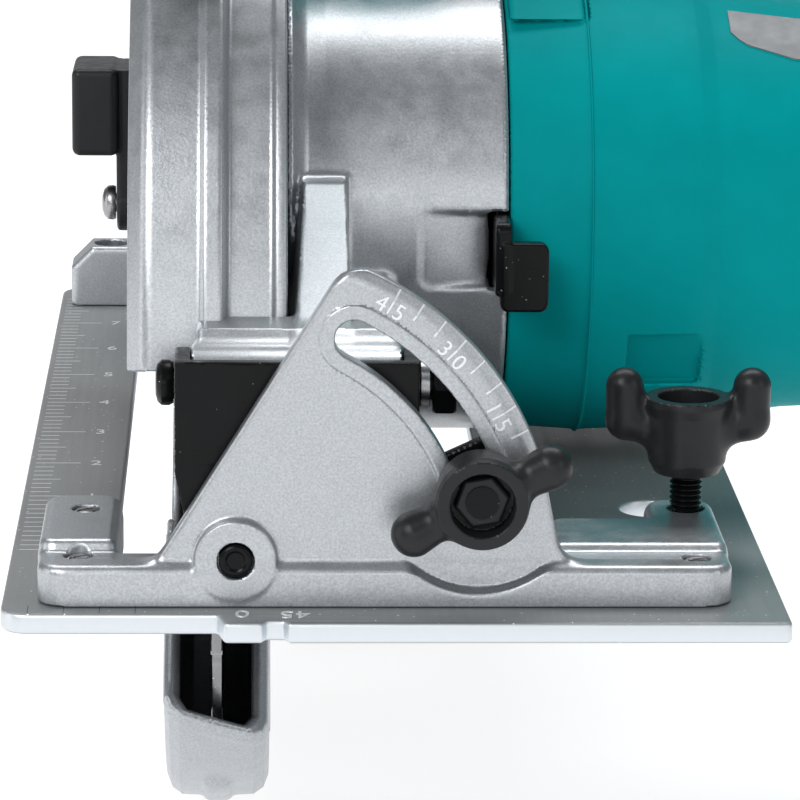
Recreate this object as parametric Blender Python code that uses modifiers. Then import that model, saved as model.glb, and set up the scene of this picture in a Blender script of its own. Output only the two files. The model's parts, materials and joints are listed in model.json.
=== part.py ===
"""Corded circular saw with a tilting, depth-adjustable body, built as separate solids.

Row frame, in metres: X = 0 is the blade's mid-plane and +X points to the motor, -Y is the
front of the saw, +Z is up, and Z = 0 is the sole, the underside of the base plate.
"""
from math import atan2, cos, hypot, pi, radians, sin, tan

import bmesh
import bpy
from mathutils import Matrix, Vector

# ---------------------------------------------------------------- driving dimensions

FIT_GAP = 0.0003            # gap kept between touching solids
FINE = 40                   # sides of a large round
ROUND = 20                  # sides of a medium round
SMALL = 12                  # sides of a small round

PLATE_LENGTH = 0.277
PLATE_WIDTH = 0.140
PLATE_THICKNESS = 0.0038
PLATE_LEFT = -0.038
PLATE_RIGHT = PLATE_LEFT + PLATE_WIDTH
PLATE_FRONT = -0.018
PLATE_REAR = PLATE_FRONT + PLATE_LENGTH
PLATE_STEP = 0.0055         # the left part of the front edge is set back by this
SEAT_Z = PLATE_THICKNESS + FIT_GAP

BLADE_RADIUS = 0.0925
BLADE_HALF = 0.0011
BLADE_TEETH = 24
CUT_DEPTH = 0.066
SPINDLE_Y = 0.120
SPINDLE_Z = BLADE_RADIUS - CUT_DEPTH
SPINDLE_RADIUS = 0.006
ARBOR_RADIUS = 0.0076

MOTOR_Y = 0.112
MOTOR_Z = 0.0538
HOUSING_RADIUS = 0.046
GEAR_TEETH = 42
PINION_TEETH = 8
GEAR_CENTRES = hypot(SPINDLE_Y - MOTOR_Y, MOTOR_Z - SPINDLE_Z)
GEAR_MODULE = 2 * GEAR_CENTRES / (GEAR_TEETH + PINION_TEETH)

BEVEL_X = 0.0037            # bevel pivot, an axis along Y
BEVEL_Z = 0.0124
BEVEL_SLOT_RADIUS = 0.045
BEVEL_BOLT_ANGLE = 16.4     # degrees above horizontal with the saw upright

DEPTH_Y = 0.008             # depth pivot, an axis along X
DEPTH_Z = 0.041
DEPTH_ARC_RADIUS = 0.165
DEPTH_BOLT_ANGLE = -4.0     # degrees, seen from the motor side, at full depth
DEPTH_TRAVEL = 33.0

BRACKET_FRONT = -0.0076     # front face of the front bracket
BRACKET_PLATE = 0.005
BRACKET_LEFT = -0.0316
BRACKET_RIGHT = 0.0925
BRACKET_TOP = 0.0113        # top of its front ledge

GUARD_LEFT = -0.0162
GUARD_RIGHT = 0.013
GUARD_RADIUS = 0.105
LOWER_GUARD_HALF = 0.0102
LOWER_GUARD_RADIUS = 0.098

HOUSING_LEFT = GUARD_RIGHT + FIT_GAP
HOUSING_RIGHT = 0.056
MOTOR_LEFT = HOUSING_RIGHT + FIT_GAP
MOTOR_RIGHT = 0.152
COVER_LEFT = MOTOR_RIGHT + FIT_GAP
COVER_RIGHT = 0.202

HANDLE_LEFT = 0.0183
HANDLE_RIGHT = 0.0480
HANDLE_MIDDLE = (HANDLE_LEFT + HANDLE_RIGHT) / 2

DEPTH_BOLT_Y = DEPTH_Y + DEPTH_ARC_RADIUS * cos(radians(DEPTH_BOLT_ANGLE))
DEPTH_BOLT_Z = DEPTH_Z + DEPTH_ARC_RADIUS * sin(radians(DEPTH_BOLT_ANGLE))
BEVEL_BOLT_X = BEVEL_X + BEVEL_SLOT_RADIUS * cos(radians(BEVEL_BOLT_ANGLE))
BEVEL_BOLT_Z = BEVEL_Z + BEVEL_SLOT_RADIUS * sin(radians(BEVEL_BOLT_ANGLE))

# ---------------------------------------------------------------- scene and materials

for old in list(bpy.data.objects):
    bpy.data.objects.remove(old, do_unlink=True)

SAW = bpy.data.collections.new("circular_saw")
CUTTERS = bpy.data.collections.new("cutters")
bpy.context.scene.collection.children.link(SAW)
bpy.context.scene.collection.children.link(CUTTERS)


def make_material(name, colour, roughness, metallic):
    material = bpy.data.materials.new(name)
    material.use_nodes = True
    shader = material.node_tree.nodes["Principled BSDF"]
    shader.inputs["Base Color"].default_value = (*colour, 1.0)
    shader.inputs["Roughness"].default_value = roughness
    shader.inputs["Metallic"].default_value = metallic
    return material


PLATE_STEEL = make_material("plate_steel", (0.55, 0.56, 0.58), 0.35, 1.0)
CAST_SILVER = make_material("cast_silver", (0.52, 0.54, 0.56), 0.45, 0.6)
BLACK_STEEL = make_material("black_steel", (0.02, 0.02, 0.022), 0.3, 0.3)
BRIGHT_STEEL = make_material("bright_steel", (0.62, 0.62, 0.63), 0.25, 1.0)
BLADE_STEEL = make_material("blade_steel", (0.66, 0.66, 0.67), 0.2, 1.0)
TEAL_PLASTIC = make_material("teal_plastic", (0.0, 0.24, 0.25), 0.4, 0.0)
BLACK_PLASTIC = make_material("black_plastic", (0.025, 0.025, 0.027), 0.5, 0.0)
COPPER = make_material("copper", (0.72, 0.35, 0.2), 0.35, 1.0)
CARBON = make_material("carbon", (0.03, 0.03, 0.03), 0.7, 0.0)

# ---------------------------------------------------------------- shape helpers


def arc(centre_a, centre_b, radius, start, end, steps):
    """Points on an arc, angles in degrees."""
    points = []
    for step in range(steps + 1):
        angle = radians(start + (end - start) * step / steps)
        points.append((centre_a + radius * cos(angle), centre_b + radius * sin(angle)))
    return points


def circle(centre_a, centre_b, radius, sides):
    return arc(centre_a, centre_b, radius, 0, 360, sides)[:-1]


def rounded(corners, steps=4):
    """Outline through (a, b, corner radius), each corner replaced by an arc."""
    points = []
    for index, (a, b, radius) in enumerate(corners):
        here = Vector((a, b))
        if radius == 0:
            points.append((a, b))
            continue
        back = (Vector(corners[index - 1][:2]) - here).normalized()
        ahead = (Vector(corners[(index + 1) % len(corners)][:2]) - here).normalized()
        half = back.angle(ahead) / 2
        centre = here + (back + ahead).normalized() * radius / sin(half)
        first = here + back * radius / tan(half) - centre
        last = here + ahead * radius / tan(half) - centre
        start = atan2(first.y, first.x)
        sweep = (atan2(last.y, last.x) - start + pi) % (2 * pi) - pi
        for step in range(steps + 1):
            angle = start + sweep * step / steps
            points.append((centre.x + radius * cos(angle), centre.y + radius * sin(angle)))
    return points


def slot_outline(centre_a, centre_b, radius, half_width, start, end, steps=14):
    """Curved slot round a centre, with round ends."""
    end_a = centre_a + radius * cos(radians(end))
    end_b = centre_b + radius * sin(radians(end))
    start_a = centre_a + radius * cos(radians(start))
    start_b = centre_b + radius * sin(radians(start))
    outer = arc(centre_a, centre_b, radius + half_width, start, end, steps)
    far_cap = arc(end_a, end_b, half_width, end, end + 180, 6)[1:-1]
    inner = arc(centre_a, centre_b, radius - half_width, end, start, steps)
    near_cap = arc(start_a, start_b, half_width, start + 180, start + 360, 6)[1:-1]
    return outer + far_cap + inner + near_cap


PLATE_FRAMES = {
    "X": Matrix(((0, 0, 1), (1, 0, 0), (0, 1, 0))).to_4x4(),
    "Y": Matrix(((1, 0, 0), (0, 0, -1), (0, 1, 0))).to_4x4(),
    "Z": Matrix.Identity(4),
}


def weld_mesh(mesh):
    work = bmesh.new()
    work.from_mesh(mesh)
    bmesh.ops.remove_doubles(work, verts=work.verts, dist=1e-6)
    bmesh.ops.recalc_face_normals(work, faces=work.faces)
    work.to_mesh(mesh)
    work.free()


def curve_to_solid(curve_object, name, material):
    """Replace a curve object by a welded mesh object with the same place."""
    bpy.context.view_layer.update()
    evaluated = curve_object.evaluated_get(bpy.context.evaluated_depsgraph_get())
    mesh = bpy.data.meshes.new_from_object(evaluated)
    weld_mesh(mesh)
    solid = bpy.data.objects.new(name, mesh)
    solid.matrix_world = curve_object.matrix_world.copy()
    SAW.objects.link(solid)
    bpy.data.objects.remove(curve_object, do_unlink=True)
    mesh.materials.clear()
    mesh.materials.append(material)
    return solid


def plate(name, outlines, low, high, normal, material):
    """Flat outline, holes included, extruded from low to high along its normal axis."""
    curve = bpy.data.curves.new(name + "_outline", "CURVE")
    curve.dimensions = "2D"
    curve.fill_mode = "BOTH"
    curve.extrude = (high - low) / 2
    for outline in outlines:
        spline = curve.splines.new("POLY")
        spline.points.add(len(outline) - 1)
        for point, (a, b) in zip(spline.points, outline):
            point.co = (a, b, 0, 1)
        spline.use_cyclic_u = True
    guide = bpy.data.objects.new(name + "_outline", curve)
    SAW.objects.link(guide)
    middle = (low + high) / 2
    place = {"X": (middle, 0, 0), "Y": (0, middle, 0), "Z": (0, 0, middle)}[normal]
    guide.matrix_world = Matrix.Translation(place) @ PLATE_FRAMES[normal]
    return curve_to_solid(guide, name, material)


def block(name, low, high, material, bevel=0.0):
    """Box between two corners, with its edges bevelled."""
    centre = [(a + b) / 2 for a, b in zip(low, high)]
    bpy.ops.mesh.primitive_cube_add(size=1, location=centre)
    box = bpy.context.object
    box.data.transform(Matrix.Diagonal([b - a for a, b in zip(low, high)]).to_4x4())
    adopt(box, name, material)
    if bevel:
        modifier = box.modifiers.new("edges", "BEVEL")
        modifier.width = bevel
        modifier.segments = 2
        modifier.limit_method = "ANGLE"
    return box


def rod(name, start, end, radius, sides, material):
    """Cylinder between two points."""
    first, last = Vector(start), Vector(end)
    bpy.ops.mesh.primitive_cylinder_add(vertices=sides, radius=radius, depth=(last - first).length)
    cylinder = bpy.context.object
    turn = Vector((0, 0, 1)).rotation_difference(last - first).to_matrix().to_4x4()
    cylinder.matrix_world = Matrix.Translation((first + last) / 2) @ turn
    adopt(cylinder, name, material)
    return cylinder


def along_x(name, low, high, centre_y, centre_z, radius, sides, material):
    return rod(name, (low, centre_y, centre_z), (high, centre_y, centre_z), radius, sides, material)


def turned(name, profile, centre_y, centre_z, sides, material):
    """Solid or ring turned about an axis along X, from a closed profile of (x, radius)."""
    mesh = bpy.data.meshes.new(name)
    edges = [(i, (i + 1) % len(profile)) for i in range(len(profile))]
    mesh.from_pydata([(x, radius, 0) for x, radius in profile], edges, [])
    guide = bpy.data.objects.new(name + "_profile", mesh)
    guide.location = (0, centre_y, centre_z)
    modifier = guide.modifiers.new("turn", "SCREW")
    modifier.axis = "X"
    modifier.steps = sides
    modifier.render_steps = sides
    modifier.use_merge_vertices = True
    modifier.merge_threshold = 1e-6
    SAW.objects.link(guide)
    return curve_to_solid(guide, name, material)


def adopt(solid, name, material):
    """Name a solid, give it its material and move it to the saw's collection."""
    solid.name = name
    solid.data.name = name
    solid.data.materials.clear()
    solid.data.materials.append(material)
    for collection in list(solid.users_collection):
        collection.objects.unlink(solid)
    SAW.objects.link(solid)


def combine(target, tool, operation):
    """Cut, join or keep with a second solid, which becomes a hidden cutter."""
    for collection in list(tool.users_collection):
        collection.objects.unlink(tool)
    CUTTERS.objects.link(tool)
    tool.hide_render = True
    tool.display_type = "WIRE"
    modifier = target.modifiers.new(tool.name, "BOOLEAN")
    modifier.operation = operation
    modifier.object = tool
    modifier.solver = "EXACT"
    return target


def cut(target, *tools):
    for tool in tools:
        combine(target, tool, "DIFFERENCE")
    return target


def join(target, *tools):
    for tool in tools:
        combine(target, tool, "UNION")
    return target


def smooth(solid, degrees=35):
    solid.data.shade_smooth()
    solid.data.set_sharp_from_angle(angle=radians(degrees))
    return solid


# ---------------------------------------------------------------- base and brackets

OPENING_LEFT = -0.0185
OPENING_RIGHT = 0.029
OPENING_WIDE = 0.052
OPENING_FRONT = 0.022
OPENING_REAR = 0.222
SCREW_RADIUS = 0.0015
SCREW_HOLE = SCREW_RADIUS + FIT_GAP
SCREW_HEAD_RADIUS = 0.0023
SINK_DEPTH = 0.0021
FENCE_BOLT_X = 0.0872
FENCE_BOLT_Y = 0.027
LEG_FRONT = 0.0015
LEG_REAR = 0.034
LEDGE_LEFT_INNER = -0.009
LEFT_LEG_INNER = -0.0175
LEFT_LEG_TOP = 0.0134
LEDGE_RIGHT_INNER = 0.058
RIGHT_WEB_INNER = 0.062
RIGHT_WEB_REAR = 0.021
RIGHT_LEG_INNER = 0.080
RIGHT_LEG_TOP = 0.0126
BRACKET_SCREWS = {
    "bracket_screw_left": (-0.0244, -0.0008, BRACKET_TOP),
    "bracket_screw_right": (0.0863, -0.0023, BRACKET_TOP),
    "bracket_screw_leg": (-0.0239, 0.0235, LEFT_LEG_TOP),
}
REAR_BRACKET_FRONT = 0.238
REAR_BRACKET_REAR = 0.250
REAR_SCREWS = {
    "rear_screw_left": (-0.026, 0.244, BRACKET_TOP),
    "rear_screw_right": (0.034, 0.244, BRACKET_TOP),
}


def base_plate():
    outline = rounded([
        (PLATE_LEFT, PLATE_FRONT + PLATE_STEP, 0.005),
        (0.0005, PLATE_FRONT + PLATE_STEP, 0.001),
        (0.0017, PLATE_FRONT, 0.001),
        (0.0083, PLATE_FRONT, 0.0005),
        (0.0092, PLATE_FRONT + 0.0018, 0.0005),
        (0.0122, PLATE_FRONT + 0.0018, 0.0005),
        (0.0131, PLATE_FRONT, 0.0005),
        (PLATE_RIGHT, PLATE_FRONT, 0.003),
        (PLATE_RIGHT, PLATE_REAR, 0.006),
        (PLATE_LEFT, PLATE_REAR, 0.006),
    ])
    opening = rounded([
        (OPENING_LEFT, OPENING_FRONT, 0.003),
        (OPENING_RIGHT, OPENING_FRONT, 0.003),
        (OPENING_RIGHT, 0.092, 0.003),
        (OPENING_WIDE, 0.096, 0.004),
        (OPENING_WIDE, 0.154, 0.004),
        (OPENING_RIGHT, 0.158, 0.003),
        (OPENING_RIGHT, OPENING_REAR, 0.003),
        (OPENING_LEFT, OPENING_REAR, 0.003),
    ])
    holes = [opening, circle(0.084, 0.059, 0.006, 24)]
    for x, y, _ in [*BRACKET_SCREWS.values(), *REAR_SCREWS.values()]:
        holes.append(circle(x, y, SCREW_HOLE, SMALL))
    return plate("base_plate", [outline, *holes], 0, PLATE_THICKNESS, "Z", PLATE_STEEL)


def quadrant_outline():
    arch = arc(BEVEL_X, BEVEL_Z, 0.057, 17, 66, 16)
    right_foot = rounded([
        (BRACKET_RIGHT, SEAT_Z, 0),
        (BRACKET_RIGHT, BRACKET_TOP, 0.002),
        (0.0620, BRACKET_TOP, 0.007),
        (arch[0][0], arch[0][1], 0),
    ])
    left_side = rounded([
        (arch[-1][0], arch[-1][1], 0),
        (0.0226, 0.0652, 0.006),
        (-0.0112, BRACKET_TOP, 0.007),
        (BRACKET_LEFT, BRACKET_TOP, 0.002),
        (BRACKET_LEFT, SEAT_Z, 0),
    ])
    return right_foot + arch[1:-1] + left_side


def bracket_feet():
    """Low ledges behind the quadrant's foot, with the raised legs behind them."""
    front = BRACKET_FRONT + 0.001
    ledges = []
    for name, low_x, high_x in (("left_ledge", BRACKET_LEFT, LEDGE_LEFT_INNER),
                                ("right_ledge", LEDGE_RIGHT_INNER, BRACKET_RIGHT)):
        outline = [(low_x, front), (high_x, front), (high_x, LEG_FRONT + 0.0005), (low_x, LEG_FRONT + 0.0005)]
        ledges.append(plate(name, [outline], SEAT_Z, BRACKET_TOP - 0.0002, "Z", CAST_SILVER))
    left_leg = plate("left_leg", [rounded([
        (BRACKET_LEFT, LEG_FRONT, 0),
        (LEFT_LEG_INNER, LEG_FRONT, 0),
        (LEFT_LEG_INNER, LEG_REAR, 0.003),
        (BRACKET_LEFT, LEG_REAR, 0.003),
    ])], SEAT_Z, LEFT_LEG_TOP, "Z", CAST_SILVER)
    right_leg = plate("right_leg", [rounded([
        (RIGHT_WEB_INNER, LEG_FRONT, 0),
        (BRACKET_RIGHT, LEG_FRONT, 0),
        (BRACKET_RIGHT, LEG_REAR, 0.003),
        (RIGHT_LEG_INNER, LEG_REAR, 0.003),
        (RIGHT_LEG_INNER, RIGHT_WEB_REAR, 0.001),
        (RIGHT_WEB_INNER, RIGHT_WEB_REAR, 0.002),
    ])], SEAT_Z, RIGHT_LEG_TOP, "Z", CAST_SILVER)
    return [*ledges, left_leg, right_leg]


def sink_screw(bracket, name, x, y, top):
    """Hole for a screw, with room for its head below a top face."""
    above = top + 0.02
    cut(bracket, rod(name + "_hole", (x, y, 0), (x, y, above), SCREW_HOLE, SMALL, CAST_SILVER))
    cut(bracket, rod(name + "_sink", (x, y, top - SINK_DEPTH), (x, y, above),
                     SCREW_HEAD_RADIUS + FIT_GAP, SMALL, CAST_SILVER))


def front_bracket():
    slot = slot_outline(BEVEL_X, BEVEL_Z, BEVEL_SLOT_RADIUS, 0.0035, 14, 62.5)
    pin_hole = circle(BEVEL_X, BEVEL_Z, 0.003 + FIT_GAP, ROUND)
    rear = BRACKET_FRONT + BRACKET_PLATE
    bracket = plate("front_bracket", [quadrant_outline(), slot, pin_hole],
                    BRACKET_FRONT, rear, "Y", CAST_SILVER)
    boss = plate("bracket_boss", [circle(BEVEL_X, BEVEL_Z, 0.0073, ROUND), pin_hole],
                 BRACKET_FRONT - 0.001, BRACKET_FRONT + 0.001, "Y", CAST_SILVER)
    join(bracket, boss, *bracket_feet())
    for name, (x, y, top) in BRACKET_SCREWS.items():
        sink_screw(bracket, name, x, y, top)
    cut(bracket, rod("fence_bolt_hole", (FENCE_BOLT_X, FENCE_BOLT_Y, 0),
                     (FENCE_BOLT_X, FENCE_BOLT_Y, 0.03), 0.003 + FIT_GAP, SMALL, CAST_SILVER))
    cut(bracket, block("fence_channel", (0.07, 0.0222, 0.003), (0.12, 0.0312, 0.0088), CAST_SILVER))
    return bracket


def bracket_screws():
    for name, (x, y, top) in {**BRACKET_SCREWS, **REAR_SCREWS}.items():
        head_floor = top - SINK_DEPTH + FIT_GAP
        shank = rod(name, (x, y, FIT_GAP), (x, y, head_floor + 0.0002), SCREW_RADIUS, SMALL,
                    BRIGHT_STEEL)
        head = rod(name + "_head", (x, y, head_floor), (x, y, head_floor + 0.0012),
                   SCREW_HEAD_RADIUS, SMALL, BRIGHT_STEEL)
        join(shank, head)


def rear_bracket():
    lug = arc(BEVEL_X, BEVEL_Z, 0.0085, 20, 160, 8)
    outline = [
        (0.045, SEAT_Z), (0.045, BRACKET_TOP), *lug, (-0.014, 0.0178), (-0.0305, 0.0178),
        (-0.0353, 0.0130), (-0.0353, SEAT_Z),
    ]
    pin_hole = circle(BEVEL_X, BEVEL_Z, 0.003 + FIT_GAP, ROUND)
    bracket = plate("rear_bracket", [outline, pin_hole], REAR_BRACKET_FRONT, REAR_BRACKET_REAR,
                    "Y", CAST_SILVER)
    for name, (x, y, top) in REAR_SCREWS.items():
        sink_screw(bracket, name, x, y, top)
    return bracket


def bevel_pins():
    rod("front_bevel_pin", (BEVEL_X, BRACKET_FRONT - 0.0013, BEVEL_Z),
        (BEVEL_X, 0.0035, BEVEL_Z), 0.003, ROUND, BLACK_STEEL)
    rod("rear_bevel_pin", (BEVEL_X, 0.2318, BEVEL_Z),
        (BEVEL_X, REAR_BRACKET_REAR + 0.001, BEVEL_Z), 0.003, ROUND, BLACK_STEEL)


def wing_outline(centre_a, centre_b, hub, span, tip, angle):
    """Hub with two wings, as seen along the screw's axis."""
    points = []
    for side in (0, 180):
        reach = radians(angle + side)
        tip_a = centre_a + (span - tip) * cos(reach)
        tip_b = centre_b + (span - tip) * sin(reach)
        points += arc(tip_a, tip_b, tip, angle + side - 100, angle + side + 100, 8)
        points += arc(centre_a, centre_b, hub, angle + side + 42, angle + side + 138, 6)
    return points


def fence_wing_bolt():
    low, high = 0.0200, 0.0338
    shank = rod("fence_wing_bolt", (FENCE_BOLT_X, FENCE_BOLT_Y, 0.0092),
                (FENCE_BOLT_X, FENCE_BOLT_Y, low + 0.001), 0.003, SMALL, BLACK_PLASTIC)
    hub = rod("fence_hub", (FENCE_BOLT_X, FENCE_BOLT_Y, low), (FENCE_BOLT_X, FENCE_BOLT_Y, high),
              0.0073, ROUND, BLACK_PLASTIC)
    recess = rod("fence_recess", (FENCE_BOLT_X, FENCE_BOLT_Y, high - 0.004),
                 (FENCE_BOLT_X, FENCE_BOLT_Y, high + 0.01), 0.0052, ROUND, BLACK_PLASTIC)
    wings = []
    for side in (-1, 1):
        outline = [(FENCE_BOLT_X + side * a, b) for a, b in (
            (0.0055, 0.0235), (0.0100, 0.0236), (0.0140, 0.0262), (0.0154, 0.0330), (0.0152, 0.0385),
            (0.0125, 0.0397), (0.0098, 0.0380), (0.0090, 0.0340), (0.0055, 0.0325))]
        wings.append(plate("fence_wing_" + ("left" if side < 0 else "right"), [outline],
                           FENCE_BOLT_Y - 0.003, FENCE_BOLT_Y + 0.003, "Y", BLACK_PLASTIC))
    join(shank, hub, *wings)
    cut(shank, recess)
    return shank


# ---------------------------------------------------------------- tilting frame

ANGLE_PLATE_FRONT = BRACKET_FRONT + BRACKET_PLATE + FIT_GAP
ANGLE_PLATE_REAR = ANGLE_PLATE_FRONT + 0.0028
EAR_LEFT = -0.0072
EAR_RIGHT = 0.0363
EAR_THICKNESS = 0.0026
PIVOT_PIN_RADIUS = 0.003
LUG_RADIUS = 0.0066
GUIDE_LEFT = GUARD_RIGHT + 0.0004
GUIDE_RIGHT = GUIDE_LEFT + 0.0024
GUIDE_REAR = 0.2346


def front_angle_plate():
    outline = [
        *arc(BEVEL_X, BEVEL_Z, 0.0078, 205, 300, 6),
        *arc(BEVEL_BOLT_X, BEVEL_BOLT_Z, 0.0080, 290, 450, 8),
        (0.0370, 0.0285), (EAR_RIGHT, 0.0330), (EAR_RIGHT, 0.0470), (EAR_LEFT, 0.0470),
        (EAR_LEFT, 0.0268),
    ]
    holes = [circle(BEVEL_X, BEVEL_Z, 0.003 + FIT_GAP, ROUND),
             circle(BEVEL_BOLT_X, BEVEL_BOLT_Z, 0.003 + FIT_GAP, SMALL)]
    bracket = plate("front_angle_plate", [outline, *holes], ANGLE_PLATE_FRONT, ANGLE_PLATE_REAR,
                    "Y", BLACK_STEEL)
    for name, low in (("ear_left", EAR_LEFT), ("ear_right", EAR_RIGHT - EAR_THICKNESS)):
        side = [
            (ANGLE_PLATE_REAR - 0.001, 0.0310), (DEPTH_Y, 0.0344),
            *arc(DEPTH_Y, DEPTH_Z, LUG_RADIUS, -60, 60, 6),
            (DEPTH_Y, 0.0470), (ANGLE_PLATE_REAR - 0.001, 0.0470),
        ]
        ear = plate(name, [side, circle(DEPTH_Y, DEPTH_Z, PIVOT_PIN_RADIUS + FIT_GAP, SMALL)],
                    low, low + EAR_THICKNESS, "X", BLACK_STEEL)
        join(bracket, ear)
    return bracket


def depth_pivot():
    pin = along_x("depth_pivot_pin", EAR_LEFT - FIT_GAP - 0.001, 0.0445, DEPTH_Y, DEPTH_Z,
                  PIVOT_PIN_RADIUS, SMALL, BLACK_STEEL)
    head = along_x("pivot_head", -0.0107, EAR_LEFT - FIT_GAP, DEPTH_Y, DEPTH_Z, 0.0041, ROUND,
                   BLACK_STEEL)
    join(pin, head)
    inner = PIVOT_PIN_RADIUS + FIT_GAP
    turned("depth_pivot_spacer", [
        (EAR_RIGHT + FIT_GAP, 0.0043), (EAR_RIGHT + 0.0022, 0.0043),
        (EAR_RIGHT + 0.0022, inner), (EAR_RIGHT + FIT_GAP, inner)],
        DEPTH_Y, DEPTH_Z, ROUND, BRIGHT_STEEL)
    plate("depth_pivot_nut", [circle(DEPTH_Y, DEPTH_Z, 0.0058, 6),
                              circle(DEPTH_Y, DEPTH_Z, inner, SMALL)],
          EAR_RIGHT + 0.0025, 0.0432, "X", BLACK_STEEL)


def bevel_clamp():
    bolt = rod("bevel_clamp_bolt", (BEVEL_BOLT_X, -0.0160, BEVEL_BOLT_Z),
               (BEVEL_BOLT_X, ANGLE_PLATE_REAR + 0.001, BEVEL_BOLT_Z), 0.003, SMALL, BLACK_STEEL)
    head = rod("bevel_bolt_head", (BEVEL_BOLT_X, ANGLE_PLATE_REAR + FIT_GAP, BEVEL_BOLT_Z),
               (BEVEL_BOLT_X, ANGLE_PLATE_REAR + 0.0028, BEVEL_BOLT_Z), 0.0062, ROUND, BLACK_STEEL)
    join(bolt, head)
    hub_front = -0.0180
    hub_rear = BRACKET_FRONT - 0.0005
    hub_hole = circle(BEVEL_BOLT_X, BEVEL_BOLT_Z, 0.003 + FIT_GAP, SMALL)
    knob = plate("bevel_wing_knob", [circle(BEVEL_BOLT_X, BEVEL_BOLT_Z, 0.0082, ROUND), hub_hole],
                 hub_front, hub_rear, "Y", BLACK_PLASTIC)
    wings = plate("bevel_wings",
                  [wing_outline(BEVEL_BOLT_X, BEVEL_BOLT_Z, 0.0070, 0.0178, 0.0042, 27), hub_hole],
                  -0.0172, -0.0108, "Y", BLACK_PLASTIC)
    join(knob, wings)
    cut(knob, rod("knob_recess", (BEVEL_BOLT_X, -0.03, BEVEL_BOLT_Z),
                  (BEVEL_BOLT_X, -0.0140, BEVEL_BOLT_Z), 0.0052, ROUND, BLACK_PLASTIC))


def rear_angle_plate():
    outline = [
        *arc(BEVEL_X, BEVEL_Z, 0.0078, 190, 330, 8), (0.0158, 0.0200), (0.0158, 0.0380),
        (-0.0080, 0.0380), (-0.0080, 0.0200),
    ]
    plate("rear_angle_plate", [outline, circle(BEVEL_X, BEVEL_Z, 0.003 + FIT_GAP, ROUND)],
          GUIDE_REAR + FIT_GAP, REAR_BRACKET_FRONT - FIT_GAP, "Y", BLACK_STEEL)


def depth_guide():
    half = 0.0088
    low_angle = DEPTH_BOLT_ANGLE - 4.5
    high_angle = DEPTH_BOLT_ANGLE + DEPTH_TRAVEL + 4
    outline = [
        (0.2300, 0.0380), (0.2300, 0.0200),
        *arc(DEPTH_Y, DEPTH_Z, DEPTH_ARC_RADIUS - half, low_angle, high_angle, 16),
        *arc(DEPTH_Y, DEPTH_Z, DEPTH_ARC_RADIUS + half, high_angle, 0, 14),
    ]
    slot = slot_outline(DEPTH_Y, DEPTH_Z, DEPTH_ARC_RADIUS, 0.0034, DEPTH_BOLT_ANGLE - 0.3,
                        DEPTH_BOLT_ANGLE + DEPTH_TRAVEL + 0.3)
    guide = plate("depth_guide", [outline, slot], GUIDE_LEFT, GUIDE_RIGHT, "X", BLACK_STEEL)
    foot = block("guide_foot", (-0.0078, GUIDE_REAR - 0.0026, 0.0205),
                 (GUIDE_RIGHT, GUIDE_REAR, 0.0375), BLACK_STEEL)
    bend = block("guide_bend", (GUIDE_LEFT, 0.2290, 0.0205), (GUIDE_RIGHT, GUIDE_REAR - 0.001, 0.0375),
                 BLACK_STEEL)
    join(guide, bend, foot)
    return guide


# ---------------------------------------------------------------- guards

def drum(name, low, high, radius, material=CAST_SILVER):
    return along_x(name, low, high, SPINDLE_Y, SPINDLE_Z, radius, FINE, material)


def upper_guard():
    guard = drum("upper_guard", GUARD_LEFT, 0.0023, GUARD_RADIUS)
    join(guard, drum("guard_right_part", 0.0020, GUARD_RIGHT, 0.102))
    cut(guard, drum("guard_inside", GUARD_LEFT + 0.0025, GUARD_RIGHT - 0.0020, 0.0995))
    left_hole = drum("guard_left_hole", -0.03, GUARD_LEFT + 0.005, 0.062)
    right_hole = drum("guard_right_hole", GUARD_RIGHT - 0.005, 0.03, 0.030)
    below = plate("guard_below", [[
        (-0.02, -0.10), (0.26, -0.10), (0.26, 0.0240), (0.0870, 0.0240), (0.0160, 0.0410),
        (-0.02, 0.0410)]], -0.04, 0.04, "X", CAST_SILVER)
    bolt_hole = along_x("guard_bolt_hole", 0.005, 0.03, DEPTH_BOLT_Y, DEPTH_BOLT_Z,
                        0.003 + FIT_GAP, SMALL, CAST_SILVER)
    cut(guard, left_hole, right_hole, below, bolt_hole)
    return guard


GUARD_LEVER_Y = 0.157
GUARD_LEVER_Z = 0.0445


def lower_guard():
    half = LOWER_GUARD_HALF
    wall = 0.0016
    radius = LOWER_GUARD_RADIUS
    guard = drum("lower_guard", -half, half, radius)
    cut(guard, drum("lower_inside", -half + wall, half - wall, radius - wall))
    cut(guard, drum("lower_left_hole", -0.03, -half + 0.003, 0.048))
    cut(guard, drum("lower_right_hole", half - 0.003, 0.03, 0.0222))
    front = radians(222)
    keep = [
        (SPINDLE_Y + 0.150 * cos(front), SPINDLE_Z + 0.150 * sin(front)),
        (SPINDLE_Y + 0.150 * cos(front), -0.2), (0.300, -0.2),
        (0.300, SPINDLE_Z + 0.032), (SPINDLE_Y + 0.033, SPINDLE_Z + 0.032),
        *arc(SPINDLE_Y, SPINDLE_Z, 0.034, 80, 190, 10),
    ]
    combine(guard, plate("lower_keep", [keep], -0.03, 0.03, "X", CAST_SILVER), "INTERSECT")
    ear = [
        *arc(GUARD_LEVER_Y, GUARD_LEVER_Z, 0.0065, 20, 170, 8), (0.1500, 0.0270), (0.1500, 0.0100),
        (0.1800, 0.0100), (0.1800, 0.0350),
    ]
    hole = circle(GUARD_LEVER_Y, GUARD_LEVER_Z, 0.002 + FIT_GAP, SMALL)
    join(guard, plate("guard_ear", [ear, hole], -half, -half + wall, "X", CAST_SILVER))
    cut(guard, along_x("ear_hole", -0.03, 0, GUARD_LEVER_Y, GUARD_LEVER_Z, 0.002 + FIT_GAP, SMALL,
                       CAST_SILVER))
    return guard


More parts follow.
